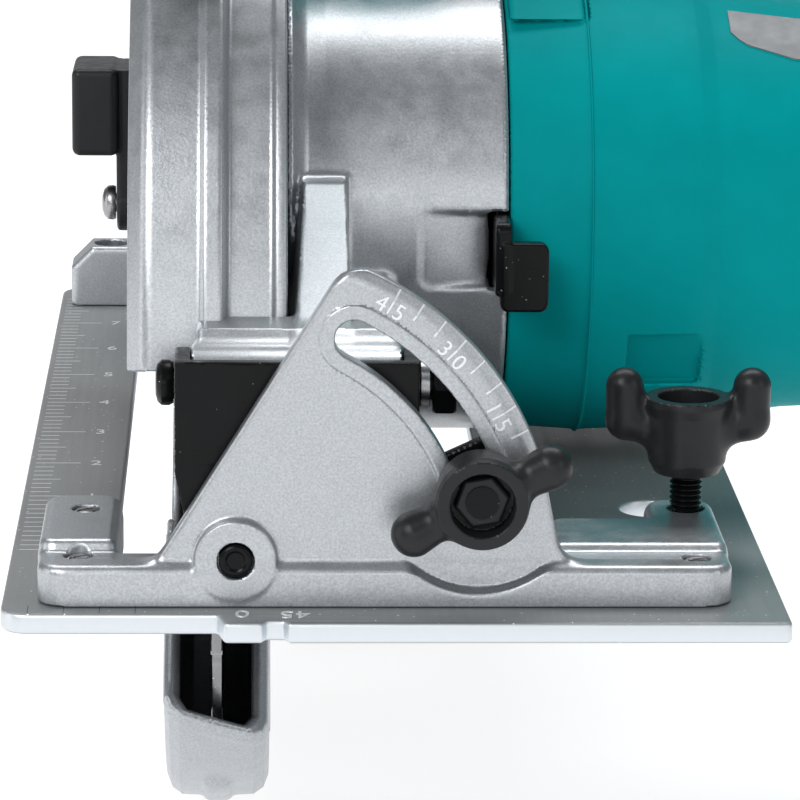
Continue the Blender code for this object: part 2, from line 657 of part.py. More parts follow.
def guard_lever():
    hole_radius = 0.002 + FIT_GAP
    outline = [
        *arc(GUARD_LEVER_Y, GUARD_LEVER_Z, 0.0060, 160, 380, 10), (0.1665, 0.0740), (0.1500, 0.0740),
    ]
    lever = plate("guard_lever", [outline], -0.0220, -0.0186, "X", BLACK_PLASTIC)
    boss = along_x("lever_boss", -0.0190, -0.0105, GUARD_LEVER_Y, GUARD_LEVER_Z, 0.0050, ROUND,
                   BLACK_PLASTIC)
    paddle = block("lever_paddle", (-0.0312, 0.1480, 0.0560), (-0.0215, 0.1680, 0.0745),
                   BLACK_PLASTIC, 0.0015)
    join(lever, boss, paddle)
    cut(lever, along_x("lever_hole", -0.04, 0, GUARD_LEVER_Y, GUARD_LEVER_Z, hole_radius, SMALL,
                       BLACK_PLASTIC))
    screw = along_x("guard_lever_screw", -0.0225, -0.0080, GUARD_LEVER_Y, GUARD_LEVER_Z, 0.002, SMALL,
                    BRIGHT_STEEL)
    head = along_x("lever_screw_head", -0.0252, -0.0223, GUARD_LEVER_Y, GUARD_LEVER_Z, 0.0037, SMALL,
                   BRIGHT_STEEL)
    join(screw, head)


def guard_spring():
    """Return spring, coiled round the bearing box."""
    curve = bpy.data.curves.new("guard_spring", "CURVE")
    curve.dimensions = "3D"
    curve.bevel_depth = 0.0006
    curve.bevel_resolution = 2
    curve.use_fill_caps = True
    turns = 1.8
    count = 28
    spline = curve.splines.new("POLY")
    spline.points.add(count - 1)
    for index, point in enumerate(spline.points):
        share = index / (count - 1)
        angle = 2 * pi * turns * share
        x = 0.0057 + 0.0020 * share
        point.co = (x, SPINDLE_Y + 0.0245 * cos(angle), SPINDLE_Z + 0.0245 * sin(angle), 1)
    wire = bpy.data.objects.new("guard_spring_curve", curve)
    SAW.objects.link(wire)
    return curve_to_solid(wire, "guard_spring", BRIGHT_STEEL)


# ---------------------------------------------------------------- spindle and blade

def tooth_outline(centre_y, centre_z, teeth, module, phase):
    """Simple gear outline: root, flank, tip and flank for each tooth."""
    pitch_radius = teeth * module / 2
    root = pitch_radius - 1.2 * module
    tip = pitch_radius + 0.85 * module
    points = []
    for tooth in range(teeth):
        for share, radius in ((-0.34, root), (-0.13, tip), (0.13, tip), (0.34, root)):
            angle = phase + 2 * pi * (tooth + share) / teeth
            points.append((centre_y + radius * cos(angle), centre_z + radius * sin(angle)))
    return points


def blade_outline():
    """Saw-tooth rim: each tooth has a steep face, a short back and a round gullet."""
    points = []
    for tooth in range(BLADE_TEETH):
        for share, radius in ((0.0, BLADE_RADIUS), (0.04, BLADE_RADIUS - 0.0075),
                              (0.16, BLADE_RADIUS - 0.0088), (0.30, BLADE_RADIUS - 0.0070),
                              (0.55, BLADE_RADIUS - 0.0030)):
            angle = 2 * pi * (tooth + share) / BLADE_TEETH
            points.append((SPINDLE_Y + radius * cos(angle), SPINDLE_Z + radius * sin(angle)))
    return points


def spindle_group():
    bore = 0.0043
    spindle_profile = [
        (-0.0010, ARBOR_RADIUS), (0.0052, ARBOR_RADIUS), (0.0052, SPINDLE_RADIUS),
        (0.0360, SPINDLE_RADIUS), (0.0360, 0.0040), (0.0152, 0.0038), (0.0150, bore), (-0.0010, bore),
    ]
    turned("spindle", spindle_profile, SPINDLE_Y, SPINDLE_Z, ROUND, BRIGHT_STEEL)
    seat = circle(SPINDLE_Y, SPINDLE_Z, ARBOR_RADIUS + FIT_GAP, ROUND)
    plate("saw_blade", [blade_outline(), seat], -BLADE_HALF, BLADE_HALF, "X", BLADE_STEEL)
    turned("inner_flange", [
        (BLADE_HALF + FIT_GAP, 0.0200), (0.0030, 0.0200), (0.0046, 0.0120),
        (0.0046, ARBOR_RADIUS + FIT_GAP), (BLADE_HALF + FIT_GAP, ARBOR_RADIUS + FIT_GAP)],
        SPINDLE_Y, SPINDLE_Z, ROUND, BRIGHT_STEEL)
    turned("outer_flange", [
        (-0.0044, 0.0120), (-0.0034, 0.0195), (-BLADE_HALF - FIT_GAP, 0.0195),
        (-BLADE_HALF - FIT_GAP, bore), (-0.0044, bore)],
        SPINDLE_Y, SPINDLE_Z, ROUND, BRIGHT_STEEL)
    bolt = along_x("blade_bolt", -0.0060, 0.0140, SPINDLE_Y, SPINDLE_Z, 0.0040, SMALL, BRIGHT_STEEL)
    join(bolt, plate("bolt_head", [circle(SPINDLE_Y, SPINDLE_Z, 0.0080, 6)], -0.0105, -0.0047, "X",
                     BRIGHT_STEEL))
    hole = circle(SPINDLE_Y, SPINDLE_Z, SPINDLE_RADIUS + FIT_GAP, ROUND)
    toward_pinion = atan2(MOTOR_Z - SPINDLE_Z, MOTOR_Y - SPINDLE_Y)
    gap_phase = toward_pinion + pi / GEAR_TEETH
    teeth = tooth_outline(SPINDLE_Y, SPINDLE_Z, GEAR_TEETH, GEAR_MODULE, gap_phase)
    plate("drive_gear", [teeth, hole], 0.0165, 0.0265, "X", BRIGHT_STEEL)


def armature_group():
    toward_gear = atan2(SPINDLE_Z - MOTOR_Z, SPINDLE_Y - MOTOR_Y)
    shaft = along_x("armature_shaft", 0.0270, 0.1950, MOTOR_Y, MOTOR_Z, 0.0045, SMALL, BRIGHT_STEEL)
    teeth = tooth_outline(MOTOR_Y, MOTOR_Z, PINION_TEETH, GEAR_MODULE, toward_gear)
    join(shaft, plate("pinion_teeth", [teeth], 0.0168, 0.0275, "X", BRIGHT_STEEL))
    inner = 0.0045 + FIT_GAP

    def ring(name, low, high, radius, material):
        turned(name, [(low, radius), (high, radius), (high, inner), (low, inner)],
               MOTOR_Y, MOTOR_Z, ROUND, material)

    ring("cooling_fan", 0.0600, 0.0690, 0.0390, BLACK_PLASTIC)
    ring("armature_core", 0.0760, 0.1210, 0.0235, BRIGHT_STEEL)
    ring("commutator", 0.1300, 0.1480, 0.0130, COPPER)


# ---------------------------------------------------------------- gear housing and bearings

def housing_round(name, low, high, radius):
    return along_x(name, low, high, MOTOR_Y, MOTOR_Z, radius, FINE, CAST_SILVER)


def spindle_round(name, low, high, radius):
    return along_x(name, low, high, SPINDLE_Y, SPINDLE_Z, radius, FINE, CAST_SILVER)


def gear_housing():
    lug_right = EAR_RIGHT - EAR_THICKNESS - FIT_GAP
    lug_left = EAR_LEFT + EAR_THICKNESS + FIT_GAP
    housing = housing_round("gear_housing", HOUSING_LEFT, HOUSING_RIGHT, HOUSING_RADIUS)
    bulge = spindle_round("housing_bulge", HOUSING_LEFT, 0.0390, 0.0285)
    barrel = along_x("pivot_barrel", lug_left, lug_right, DEPTH_Y, DEPTH_Z, LUG_RADIUS, ROUND,
                     CAST_SILVER)
    arm = plate("pivot_arm", [[
        (DEPTH_Y, 0.0345), (0.0700, 0.0300), (0.0800, 0.0680), (0.0560, 0.0620), (DEPTH_Y, 0.0490)]],
        HOUSING_LEFT + 0.0006, lug_right - 0.0006, "X", CAST_SILVER)
    ledge = block("pivot_ledge", (lug_left + 0.0006, 0.0060, 0.0440), (lug_right - 0.0003, 0.0135, 0.0518),
                  CAST_SILVER)
    join(housing, bulge, arm, barrel, ledge)
    cut(housing,
        along_x("barrel_bore", -0.05, 0.06, DEPTH_Y, DEPTH_Z, PIVOT_PIN_RADIUS + FIT_GAP, SMALL,
                CAST_SILVER),
        housing_round("fan_space", 0.0440, 0.07, HOUSING_RADIUS - 0.0028),
        housing_round("shaft_hole", 0.02, 0.05, 0.0085),
        housing_round("bearing_seat", 0.0345, 0.05, 0.0133),
        spindle_round("gear_space", 0.005, 0.0300, 0.0262),
        housing_round("pinion_space", 0.005, 0.0300, 0.0100),
        spindle_round("needle_seat", 0.0290, 0.0370, 0.0103),
        block("lock_slot", (0.0516, 0.03, 0.0430), (0.0552, 0.09, 0.0600), CAST_SILVER))
    return housing


def bearing(name, low, high, outer, inner, centre_y, centre_z):
    turned(name, [(low, outer), (high, outer), (high, inner), (low, inner)], centre_y, centre_z,
           ROUND, BRIGHT_STEEL)


def bearings():
    turned("bearing_box", [
        (0.0050, 0.0216), (0.0106, 0.0216), (0.0106, 0.0294), (0.0130, 0.0294),
        (0.0130, 0.0140), (0.0064, 0.0140), (0.0064, 0.0092), (0.0050, 0.0092)],
        SPINDLE_Y, SPINDLE_Z, ROUND, CAST_SILVER)
    inner = SPINDLE_RADIUS + FIT_GAP
    bearing("spindle_bearing", 0.0068, 0.0128, 0.0137, inner, SPINDLE_Y, SPINDLE_Z)
    bearing("needle_bearing", 0.0303, 0.0360, 0.0100, inner, SPINDLE_Y, SPINDLE_Z)
    shaft = 0.0045 + FIT_GAP
    bearing("armature_bearing_front", 0.0350, 0.0430, 0.0130, shaft, MOTOR_Y, MOTOR_Z)
    bearing("armature_bearing_rear", 0.1860, 0.1930, 0.0110, shaft, MOTOR_Y, MOTOR_Z)


def shaft_lock():
    lock = block("shaft_lock", (0.0520, 0.0575, 0.0438), (0.0548, 0.0790, 0.0590), BLACK_STEEL, 0.0005)
    tab = block("lock_tab", (0.0530, 0.0568, 0.0425), (0.0632, 0.0601, 0.0560), BLACK_STEEL, 0.0005)
    return join(lock, tab)


# ---------------------------------------------------------------- motor

def motor_round(name, low, high, radius, material):
    return along_x(name, low, high, MOTOR_Y, MOTOR_Z, radius, FINE, material)


def motor_housing():
    wall = 0.003
    outer = [(MOTOR_LEFT, 0.0463), (0.0800, 0.0463), (0.0930, 0.0449), (0.1140, 0.0415),
             (MOTOR_RIGHT, 0.0395)]
    inner = [(x, radius - wall) for x, radius in reversed(outer)]
    return turned("motor_housing", outer + inner, MOTOR_Y, MOTOR_Z, FINE, TEAL_PLASTIC)


BRUSH_X = 0.1640


def rear_cover():
    outer = [(COVER_LEFT, 0.0395), (0.1800, 0.0385), (0.1950, 0.0345), (0.2000, 0.0300),
             (COVER_RIGHT, 0.0240)]
    inner = [(COVER_RIGHT, 0.0060), (0.1994, 0.0060), (0.1994, 0.0115), (0.1850, 0.0115),
             (0.1850, 0.0150), (0.1920, 0.0290), (0.1800, 0.0350), (COVER_LEFT, 0.0365)]
    cover = turned("rear_cover", outer + inner, MOTOR_Y, MOTOR_Z, FINE, TEAL_PLASTIC)
    for side, name in ((-1, "front_brush_port"), (1, "rear_brush_port")):
        start = (BRUSH_X, MOTOR_Y + side * 0.020, MOTOR_Z)
        end = (BRUSH_X, MOTOR_Y + side * 0.060, MOTOR_Z)
        cut(cover, rod(name, start, end, 0.0072, ROUND, TEAL_PLASTIC))
    return cover


def brush_gear():
    for side, end in ((-1, "front"), (1, "rear")):
        outside = MOTOR_Y + side * 0.0398
        rod("brush_cap_" + end, (BRUSH_X, outside - side * 0.0060, MOTOR_Z), (BRUSH_X, outside, MOTOR_Z),
            0.0069, ROUND, BLACK_PLASTIC)
        low = MOTOR_Y + side * (0.0130 + FIT_GAP)
        high = MOTOR_Y + side * 0.0310
        near, far = min(low, high), max(low, high)
        block("carbon_brush_" + end, (0.1360, near, MOTOR_Z - 0.0035), (0.1430, far, MOTOR_Z + 0.0035),
              CARBON, 0.0003)


def stator():
    turned("stator", [(0.0780, 0.0376), (0.1190, 0.0376), (0.1190, 0.0245), (0.0780, 0.0245)],
           MOTOR_Y, MOTOR_Z, ROUND, BRIGHT_STEEL)


# ---------------------------------------------------------------- handles

SADDLE_RADIUS = HOUSING_RADIUS + FIT_GAP
HANDLE_OUTER = [
    (0.1140, 0.1500, 0.020), (0.1400, 0.1825, 0.026), (0.1960, 0.1825, 0.050), (0.2500, 0.1520, 0.050),
    (0.2900, 0.1080, 0.026), (0.2860, 0.0600, 0.018), (0.2150, 0.0540, 0.030),
]
HANDLE_INNER = [
    (0.1440, 0.1150, 0.010), (0.1420, 0.1500, 0.012), (0.1900, 0.1530, 0.030), (0.2350, 0.1260, 0.030),
    (0.2560, 0.0980, 0.010), (0.2480, 0.0820, 0.008), (0.1950, 0.0820, 0.016), (0.1680, 0.0980, 0.016),
]
TRIGGER_CENTRE = (0.1680, 0.1470)
HANDLE_SCREWS = {"handle_screw_front": (0.1290, 0.1180), "handle_screw_rear": (0.2680, 0.0760)}
LOCK_BUTTON = (0.1550, 0.1650)
INLET_START = Vector((HANDLE_MIDDLE, 0.2800, 0.0950))
INLET_END = INLET_START + Vector((0, 0.95, -0.31)).normalized() * 0.012


def handle_shell(name, low, high, pocket_low, pocket_high):
    saddle = arc(MOTOR_Y, MOTOR_Z, SADDLE_RADIUS, -2, 84, 10)
    outline = rounded([*HANDLE_OUTER, *[(y, z, 0) for y, z in saddle]], 5)
    opening = rounded(HANDLE_INNER, 5)
    shell = plate(name, [outline, opening], low, high, "X", TEAL_PLASTIC)
    pocket = rounded([(0.1470, 0.1400, 0), (0.1470, 0.1740, 0.003), (0.1960, 0.1740, 0.003),
                      (0.2140, 0.1620, 0.003), (0.2060, 0.1560, 0.002), (0.1900, 0.1560, 0),
                      (0.1900, 0.1400, 0)])
    cut(shell, plate(name + "_pocket", [pocket], pocket_low, pocket_high, "X", TEAL_PLASTIC))
    for screw, (y, z) in HANDLE_SCREWS.items():
        cut(shell, along_x(f"{name}_{screw}_hole", 0, 0.06, y, z, 0.002 + FIT_GAP, SMALL, TEAL_PLASTIC))
        cut(shell, along_x(f"{name}_{screw}_sink", HANDLE_RIGHT - 0.003, 0.06, y, z,
                           0.0038 + FIT_GAP, SMALL, TEAL_PLASTIC))
    cut(shell, rod(name + "_inlet_seat", INLET_START, INLET_END + (INLET_END - INLET_START),
                   0.0082 + FIT_GAP, ROUND, TEAL_PLASTIC))
    return shell


def handle():
    half_gap = FIT_GAP / 2
    shell = handle_shell("handle_left", HANDLE_LEFT, HANDLE_MIDDLE - half_gap,
                         HANDLE_LEFT + 0.003, HANDLE_MIDDLE + 0.01)
    cut(shell, along_x("lock_button_hole", 0, HANDLE_LEFT + 0.005, *LOCK_BUTTON, 0.0052, SMALL,
                       TEAL_PLASTIC))
    handle_shell("handle_right", HANDLE_MIDDLE + half_gap, HANDLE_RIGHT,
                 HANDLE_MIDDLE - 0.01, HANDLE_RIGHT - 0.003)
    for name, (y, z) in HANDLE_SCREWS.items():
        screw = along_x(name, HANDLE_LEFT + 0.002, HANDLE_RIGHT - 0.001, y, z, 0.002, SMALL, BRIGHT_STEEL)
        join(screw, along_x(name + "_head", HANDLE_RIGHT - 0.0026, HANDLE_RIGHT - 0.0005, y, z, 0.0038,
                            SMALL, BRIGHT_STEEL))


def trigger_and_switch():
    y, z = TRIGGER_CENTRE
    outline = rounded([
        (y - 0.0190, z + 0.0050, 0.001), (y - 0.0190, z - 0.0080, 0.004), (y - 0.0060, z - 0.0115, 0.010),
        (y + 0.0180, z - 0.0060, 0.003), (y + 0.0205, z + 0.0050, 0.001)])
    plate("trigger", [outline], HANDLE_MIDDLE - 0.0095, HANDLE_MIDDLE + 0.0095, "X", BLACK_PLASTIC)
    block("switch_unit", (HANDLE_MIDDLE - 0.009, 0.1625, 0.1580), (HANDLE_MIDDLE + 0.009, 0.1940, 0.1720),
          BLACK_PLASTIC, 0.0008)
    along_x("lock_button", HANDLE_LEFT - 0.0028, HANDLE_LEFT + 0.0080, *LOCK_BUTTON, 0.0048, SMALL,
            BLACK_PLASTIC)


def cord_inlet():
    """Moulded collar in the rear of the handle; its bore is open for a cord."""
    direction = (INLET_END - INLET_START).normalized()
    start = INLET_START + direction * FIT_GAP
    collar = rod("cord_inlet", start, INLET_END, 0.0082, ROUND, BLACK_PLASTIC)
    bore = rod("cord_bore", INLET_START - direction * 0.01, INLET_END + direction * 0.01, 0.0046, SMALL,
               BLACK_PLASTIC)
    return cut(collar, bore)


GRIP_X = -0.0068
GRIP_LEAN = 36              # degrees forward of upright


def front_grip():
    """Auxiliary grip: a rounded knob on a stalk, on the upper front of the blade cover."""
    profile = [(0.0000, 0.0092), (0.0060, 0.0095), (0.0130, 0.0090), (0.0220, 0.0115), (0.0330, 0.0155),
               (0.0430, 0.0165), (0.0500, 0.0140), (0.0530, 0.0085)]
    grip = turned("front_grip", [*profile, (0.0530, 0.0042), (0.0440, 0.0042), (0.0440, 0.0026),
                                 (0.0000, 0.0026)], 0, 0, ROUND, BLACK_PLASTIC)
    screw = turned("front_grip_screw", [(0.0005, 0.0023), (0.0443, 0.0023), (0.0443, 0.0039),
                                        (0.0490, 0.0039), (0.0490, 0.0012), (0.0010, 0.0012)], 0, 0,
                   SMALL, BRIGHT_STEEL)
    lean = radians(GRIP_LEAN)
    up = Vector((0, -sin(lean), cos(lean)))
    foot = Vector((GRIP_X, SPINDLE_Y, SPINDLE_Z)) + up * (GUARD_RADIUS + FIT_GAP)
    turn = Vector((1, 0, 0)).rotation_difference(up).to_matrix().to_4x4()
    for piece in (grip, screw):
        piece.matrix_world = Matrix.Translation(foot) @ turn


# ---------------------------------------------------------------- depth lock

def depth_lock():
    stud = along_x("depth_lock_bolt", GUARD_RIGHT - 0.0017, 0.0268, DEPTH_BOLT_Y, DEPTH_BOLT_Z, 0.003,
                   SMALL, BRIGHT_STEEL)
    washer = along_x("depth_washer", 0.0252, 0.0268, DEPTH_BOLT_Y, DEPTH_BOLT_Z, 0.0055, ROUND,
                     BRIGHT_STEEL)
    join(stud, washer)
    reach = radians(24)
    tip_y = DEPTH_BOLT_Y + 0.040 * cos(reach)
    tip_z = DEPTH_BOLT_Z + 0.040 * sin(reach)
    outline = [*arc(DEPTH_BOLT_Y, DEPTH_BOLT_Z, 0.0080, 110, 300, 10),
               *arc(tip_y, tip_z, 0.0050, -60, 110, 8)]
    plate("depth_lever", [outline, circle(DEPTH_BOLT_Y, DEPTH_BOLT_Z, 0.003 + FIT_GAP, SMALL)],
          GUIDE_RIGHT + 0.0004, 0.0249, "X", BLACK_PLASTIC)


# ---------------------------------------------------------------- assembly

base_plate()
front_bracket()
rear_bracket()
bracket_screws()
bevel_pins()
fence_wing_bolt()
front_angle_plate()
depth_pivot()
bevel_clamp()
rear_angle_plate()
depth_guide()
upper_guard()
lower_guard()
guard_lever()
guard_spring()
spindle_group()
armature_group()
gear_housing()
bearings()
shaft_lock()
motor_housing()
rear_cover()
brush_gear()
stator()
handle()
trigger_and_switch()
cord_inlet()
front_grip()
depth_lock()

for piece in SAW.objects:
    smooth(piece)
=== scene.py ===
"""Looks of the circular saw: detailed meshes, procedural materials, studio light and camera.

Shapes are built in millimetres in the row frame, and turned into metres when a mesh is made.
Cast and moulded pieces are distance fields, so that their edges and inner corners are rounded.
"""

import json
from itertools import product
from math import atan2, ceil, cos, degrees, hypot, pi, radians, sin, tan

import bmesh
import bpy
import numpy as np
from mathutils import Matrix, Vector


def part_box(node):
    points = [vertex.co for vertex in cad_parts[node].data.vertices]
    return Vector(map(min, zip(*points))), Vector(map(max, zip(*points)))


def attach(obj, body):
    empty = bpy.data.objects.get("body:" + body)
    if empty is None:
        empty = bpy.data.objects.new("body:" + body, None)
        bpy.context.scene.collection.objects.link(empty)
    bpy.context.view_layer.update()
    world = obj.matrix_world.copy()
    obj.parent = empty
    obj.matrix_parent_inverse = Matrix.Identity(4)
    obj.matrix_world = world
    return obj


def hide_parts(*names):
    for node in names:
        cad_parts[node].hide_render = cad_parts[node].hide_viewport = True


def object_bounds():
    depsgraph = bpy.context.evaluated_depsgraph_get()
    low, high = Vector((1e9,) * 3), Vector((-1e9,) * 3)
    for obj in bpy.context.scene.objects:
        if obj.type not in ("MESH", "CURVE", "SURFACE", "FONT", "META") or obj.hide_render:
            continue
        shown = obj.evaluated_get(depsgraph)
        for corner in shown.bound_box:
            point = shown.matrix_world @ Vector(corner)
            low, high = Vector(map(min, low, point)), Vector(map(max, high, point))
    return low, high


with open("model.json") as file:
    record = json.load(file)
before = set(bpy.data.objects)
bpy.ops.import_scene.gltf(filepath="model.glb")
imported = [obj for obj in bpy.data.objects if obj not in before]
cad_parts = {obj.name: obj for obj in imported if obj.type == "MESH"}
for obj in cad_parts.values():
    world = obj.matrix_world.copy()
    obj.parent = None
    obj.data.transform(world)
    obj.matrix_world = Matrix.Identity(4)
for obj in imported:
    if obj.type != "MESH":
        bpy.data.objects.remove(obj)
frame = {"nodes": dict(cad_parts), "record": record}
CAD_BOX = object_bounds()

MM = 0.001
X, Y, Z = 0, 1, 2
ACROSS = {X: (Y, Z), Y: (X, Z), Z: (X, Y)}
COARSE = 1.0
NODE_BODY = {node: body for body, nodes in frame["record"]["behaviour"]["bodies"].items() for node in nodes}
NODE_SLOT = {part["node"]: part["material_slot"] for part in frame["record"]["subparts"]}

# ---------------------------------------------------------------- places taken from the frame


def low_high(*nodes):
    """Lowest and highest corner of some nodes, in millimetres."""
    boxes = [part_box(node) for node in nodes]
    low = np.min([np.array(box[0]) for box in boxes], axis=0) / MM
    high = np.max([np.array(box[1]) for box in boxes], axis=0) / MM
    return low, high


def middle(node):
    low, high = low_high(node)
    return (low + high) / 2


SPINDLE = middle("spindle")[1:]
MOTOR = middle("stator")[1:]
PIVOT = middle("front_bevel_pin")[[0, 2]]
CLAMP = middle("bevel_clamp_bolt")[[0, 2]]
DEPTH = middle("depth_pivot_pin")[1:]
FENCE = middle("fence_wing_bolt")[:2]
LEVER = middle("guard_lever_screw")[1:]
GUIDE_BOLT = middle("depth_lock_bolt")[1:]
PLATE_LOW, PLATE_HIGH = low_high("base_plate")
BRACKET_LOW, BRACKET_HIGH = low_high("front_bracket")
GUARD_LOW, GUARD_HIGH = low_high("upper_guard")
GEAR_LOW, GEAR_HIGH = low_high("gear_housing")
CASE_LOW, CASE_HIGH = low_high("motor_housing")
COVER_LOW, COVER_HIGH = low_high("rear_cover")

# ---------------------------------------------------------------- distance fields


def corner(a, b):
    return np.minimum(np.maximum(a, b), 0) + np.hypot(np.maximum(a, 0), np.maximum(b, 0))


def outline_distance(u, v, outline):
    """Signed distance in a plane to a closed outline, negative inside."""
    best = np.full(len(u), 1e9, np.float32)
    inside = np.zeros(len(u), bool)
    for (ax, ay), (bx, by) in zip(outline, [*outline[1:], outline[0]]):
        ex, ey = bx - ax, by - ay
        length = ex * ex + ey * ey
        if length < 1e-9:
            continue
        wx, wy = u - np.float32(ax), v - np.float32(ay)
        t = np.clip((wx * ex + wy * ey) / length, 0, 1)
        best = np.minimum(best, (wx - t * ex) ** 2 + (wy - t * ey) ** 2)
        if ey != 0:
            inside ^= ((ay > v) != (by > v)) & (wx < ex * wy / ey)
    return np.where(inside, -1, 1) * np.sqrt(best)


def slab(axis, outlines, low, high, edge=0.4):
    """Outline extruded along an axis, its edges rounded. Further outlines are holes."""
    u, v = ACROSS[axis]
    if not isinstance(outlines[0], list):
        outlines = [outlines]

    def field(p):
        flat = outline_distance(p[:, u], p[:, v], outlines[0])
        for hole in outlines[1:]:
            flat = np.maximum(flat, -outline_distance(p[:, u], p[:, v], hole))
        along = np.abs(p[:, axis] - (low + high) / 2) - (high - low) / 2
        return corner(flat + edge, along + edge) - edge
    return field


def drum(axis, centre, radius, low, high, edge=0.4):
    u, v = ACROSS[axis]

    def field(p):
        radial = np.hypot(p[:, u] - centre[0], p[:, v] - centre[1]) - radius
        along = np.abs(p[:, axis] - (low + high) / 2) - (high - low) / 2
        return corner(radial + edge, along + edge) - edge
    return field


def turned(axis, centre, profile, edge=0.0):
    """Profile of (along, radius) turned about an axis."""
    u, v = ACROSS[axis]

    def field(p):
        radial = np.hypot(p[:, u] - centre[0], p[:, v] - centre[1])
        return outline_distance(p[:, axis], radial, profile) - edge
    return field


def brick(low, high, edge=0.4):
    centre = np.array([(a + b) / 2 for a, b in zip(low, high)], np.float32)
    half = np.array([(b - a) / 2 - edge for a, b in zip(low, high)], np.float32)

    def field(p):
        q = np.abs(p - centre) - half
        outside = np.sqrt((np.maximum(q, 0) ** 2).sum(1))
        return outside + np.minimum(q.max(1), 0) - edge
    return field


def capsule(start, end, start_radius, end_radius=None):
    a = np.array(start, np.float32)
    along = np.array(end, np.float32) - a
    end_radius = start_radius if end_radius is None else end_radius

    def field(p):
        t = np.clip(((p - a) @ along) / (along @ along), 0, 1)
        gap = p - a - t[:, None] * along
        return np.sqrt((gap ** 2).sum(1)) - (start_radius + t * (end_radius - start_radius))
    return field


def ray_side(centre, angle):
    """Everything past a ray in the Y-Z plane, turning from +Y to +Z."""
    def field(p):
        return (p[:, Y] - centre[0]) * sin(angle) - (p[:, Z] - centre[1]) * cos(angle)
    return field


def side(axis, place, sign):
    """Half space: solid where sign * (coordinate - place) is negative."""
    return lambda p: sign * (p[:, axis] - place)


def melt(a, b, soft):
    """Smaller of two distances, with a fillet between them."""
    if soft <= 0:
        return np.minimum(a, b)
    h = np.clip(0.5 + 0.5 * (b - a) / soft, 0, 1)
    return b + h * (a - b) - soft * h * (1 - h)


def join(*fields, soft=0.0):
    def field(p):
        total = fields[0](p)
        for other in fields[1:]:
            total = melt(total, other(p), soft)
        return total
    return field


def cut(body, *tools, soft=0.0):
    def field(p):
        total = body(p)
        for tool in tools:
            total = -melt(-total, tool(p), soft)
        return total
    return field


def keep(*fields, soft=0.0):
    def field(p):
        total = -fields[0](p)
        for other in fields[1:]:
            total = melt(total, -other(p), soft)
        return -total
    return field


# ---------------------------------------------------------------- from field to mesh

BLOCK = 8
NEAR_BLOCK = 0.95
CAST_MARGIN = 1.5
# A corner keeps the field's normal if that turns from the face by less than this many degrees,
# divided by the face's size in steps, and kept between the two limits.
TURN_LIMIT = 25.0
LEAST_TURN, MOST_TURN = 8, 30


def in_pieces(field, points):
    size = 400000
    parts = [field(points[i:i + size]) for i in range(0, len(points), size)]
    return np.concatenate(parts) if parts else np.zeros(0, np.float32)


def sample(field, low, step, blocks):
    """Values on a grid. Blocks far from the surface get one large value each."""
    count = np.stack(np.meshgrid(*[np.arange(n) for n in blocks], indexing="ij"), -1).reshape(-1, 3)
    centres = (low + (count * BLOCK + (BLOCK - 1) / 2) * step).astype(np.float32)
    rough = in_pieces(field, centres)
    near = np.abs(rough) < step * BLOCK * NEAR_BLOCK
    values = np.where(rough < 0, -1e3, 1e3).astype(np.float32)[:, None] * np.ones(BLOCK ** 3, np.float32)
    offsets = np.stack(np.meshgrid(*[np.arange(BLOCK)] * 3, indexing="ij"), -1).reshape(-1, 3)
    points = low + (count[near][:, None] * BLOCK + offsets[None]) * step
    values[near] = in_pieces(field, points.reshape(-1, 3).astype(np.float32)).reshape(-1, BLOCK ** 3)
    values = values.reshape(*blocks, BLOCK, BLOCK, BLOCK).transpose(0, 3, 1, 4, 2, 5)
    return values.reshape([n * BLOCK for n in blocks])


def slopes(field, points, reach):
    result = np.empty_like(points)
    for axis in range(3):
        shift = np.zeros(3, np.float32)
        shift[axis] = reach
        result[:, axis] = (in_pieces(field, points + shift) - in_pieces(field, points - shift)) / (
                2 * reach)
    return result


def pull_to_surface(field, points, step):
    """Two rounds of Newton's method along the slope."""
    for _ in range(2):
        slope = slopes(field, points, step * 0.2)
        size = np.maximum((slope ** 2).sum(1), 0.2)
        move = -(in_pieces(field, points) / size)[:, None] * slope
        points = points + np.clip(move, -step / 2, step / 2)
    return points.astype(np.float32)


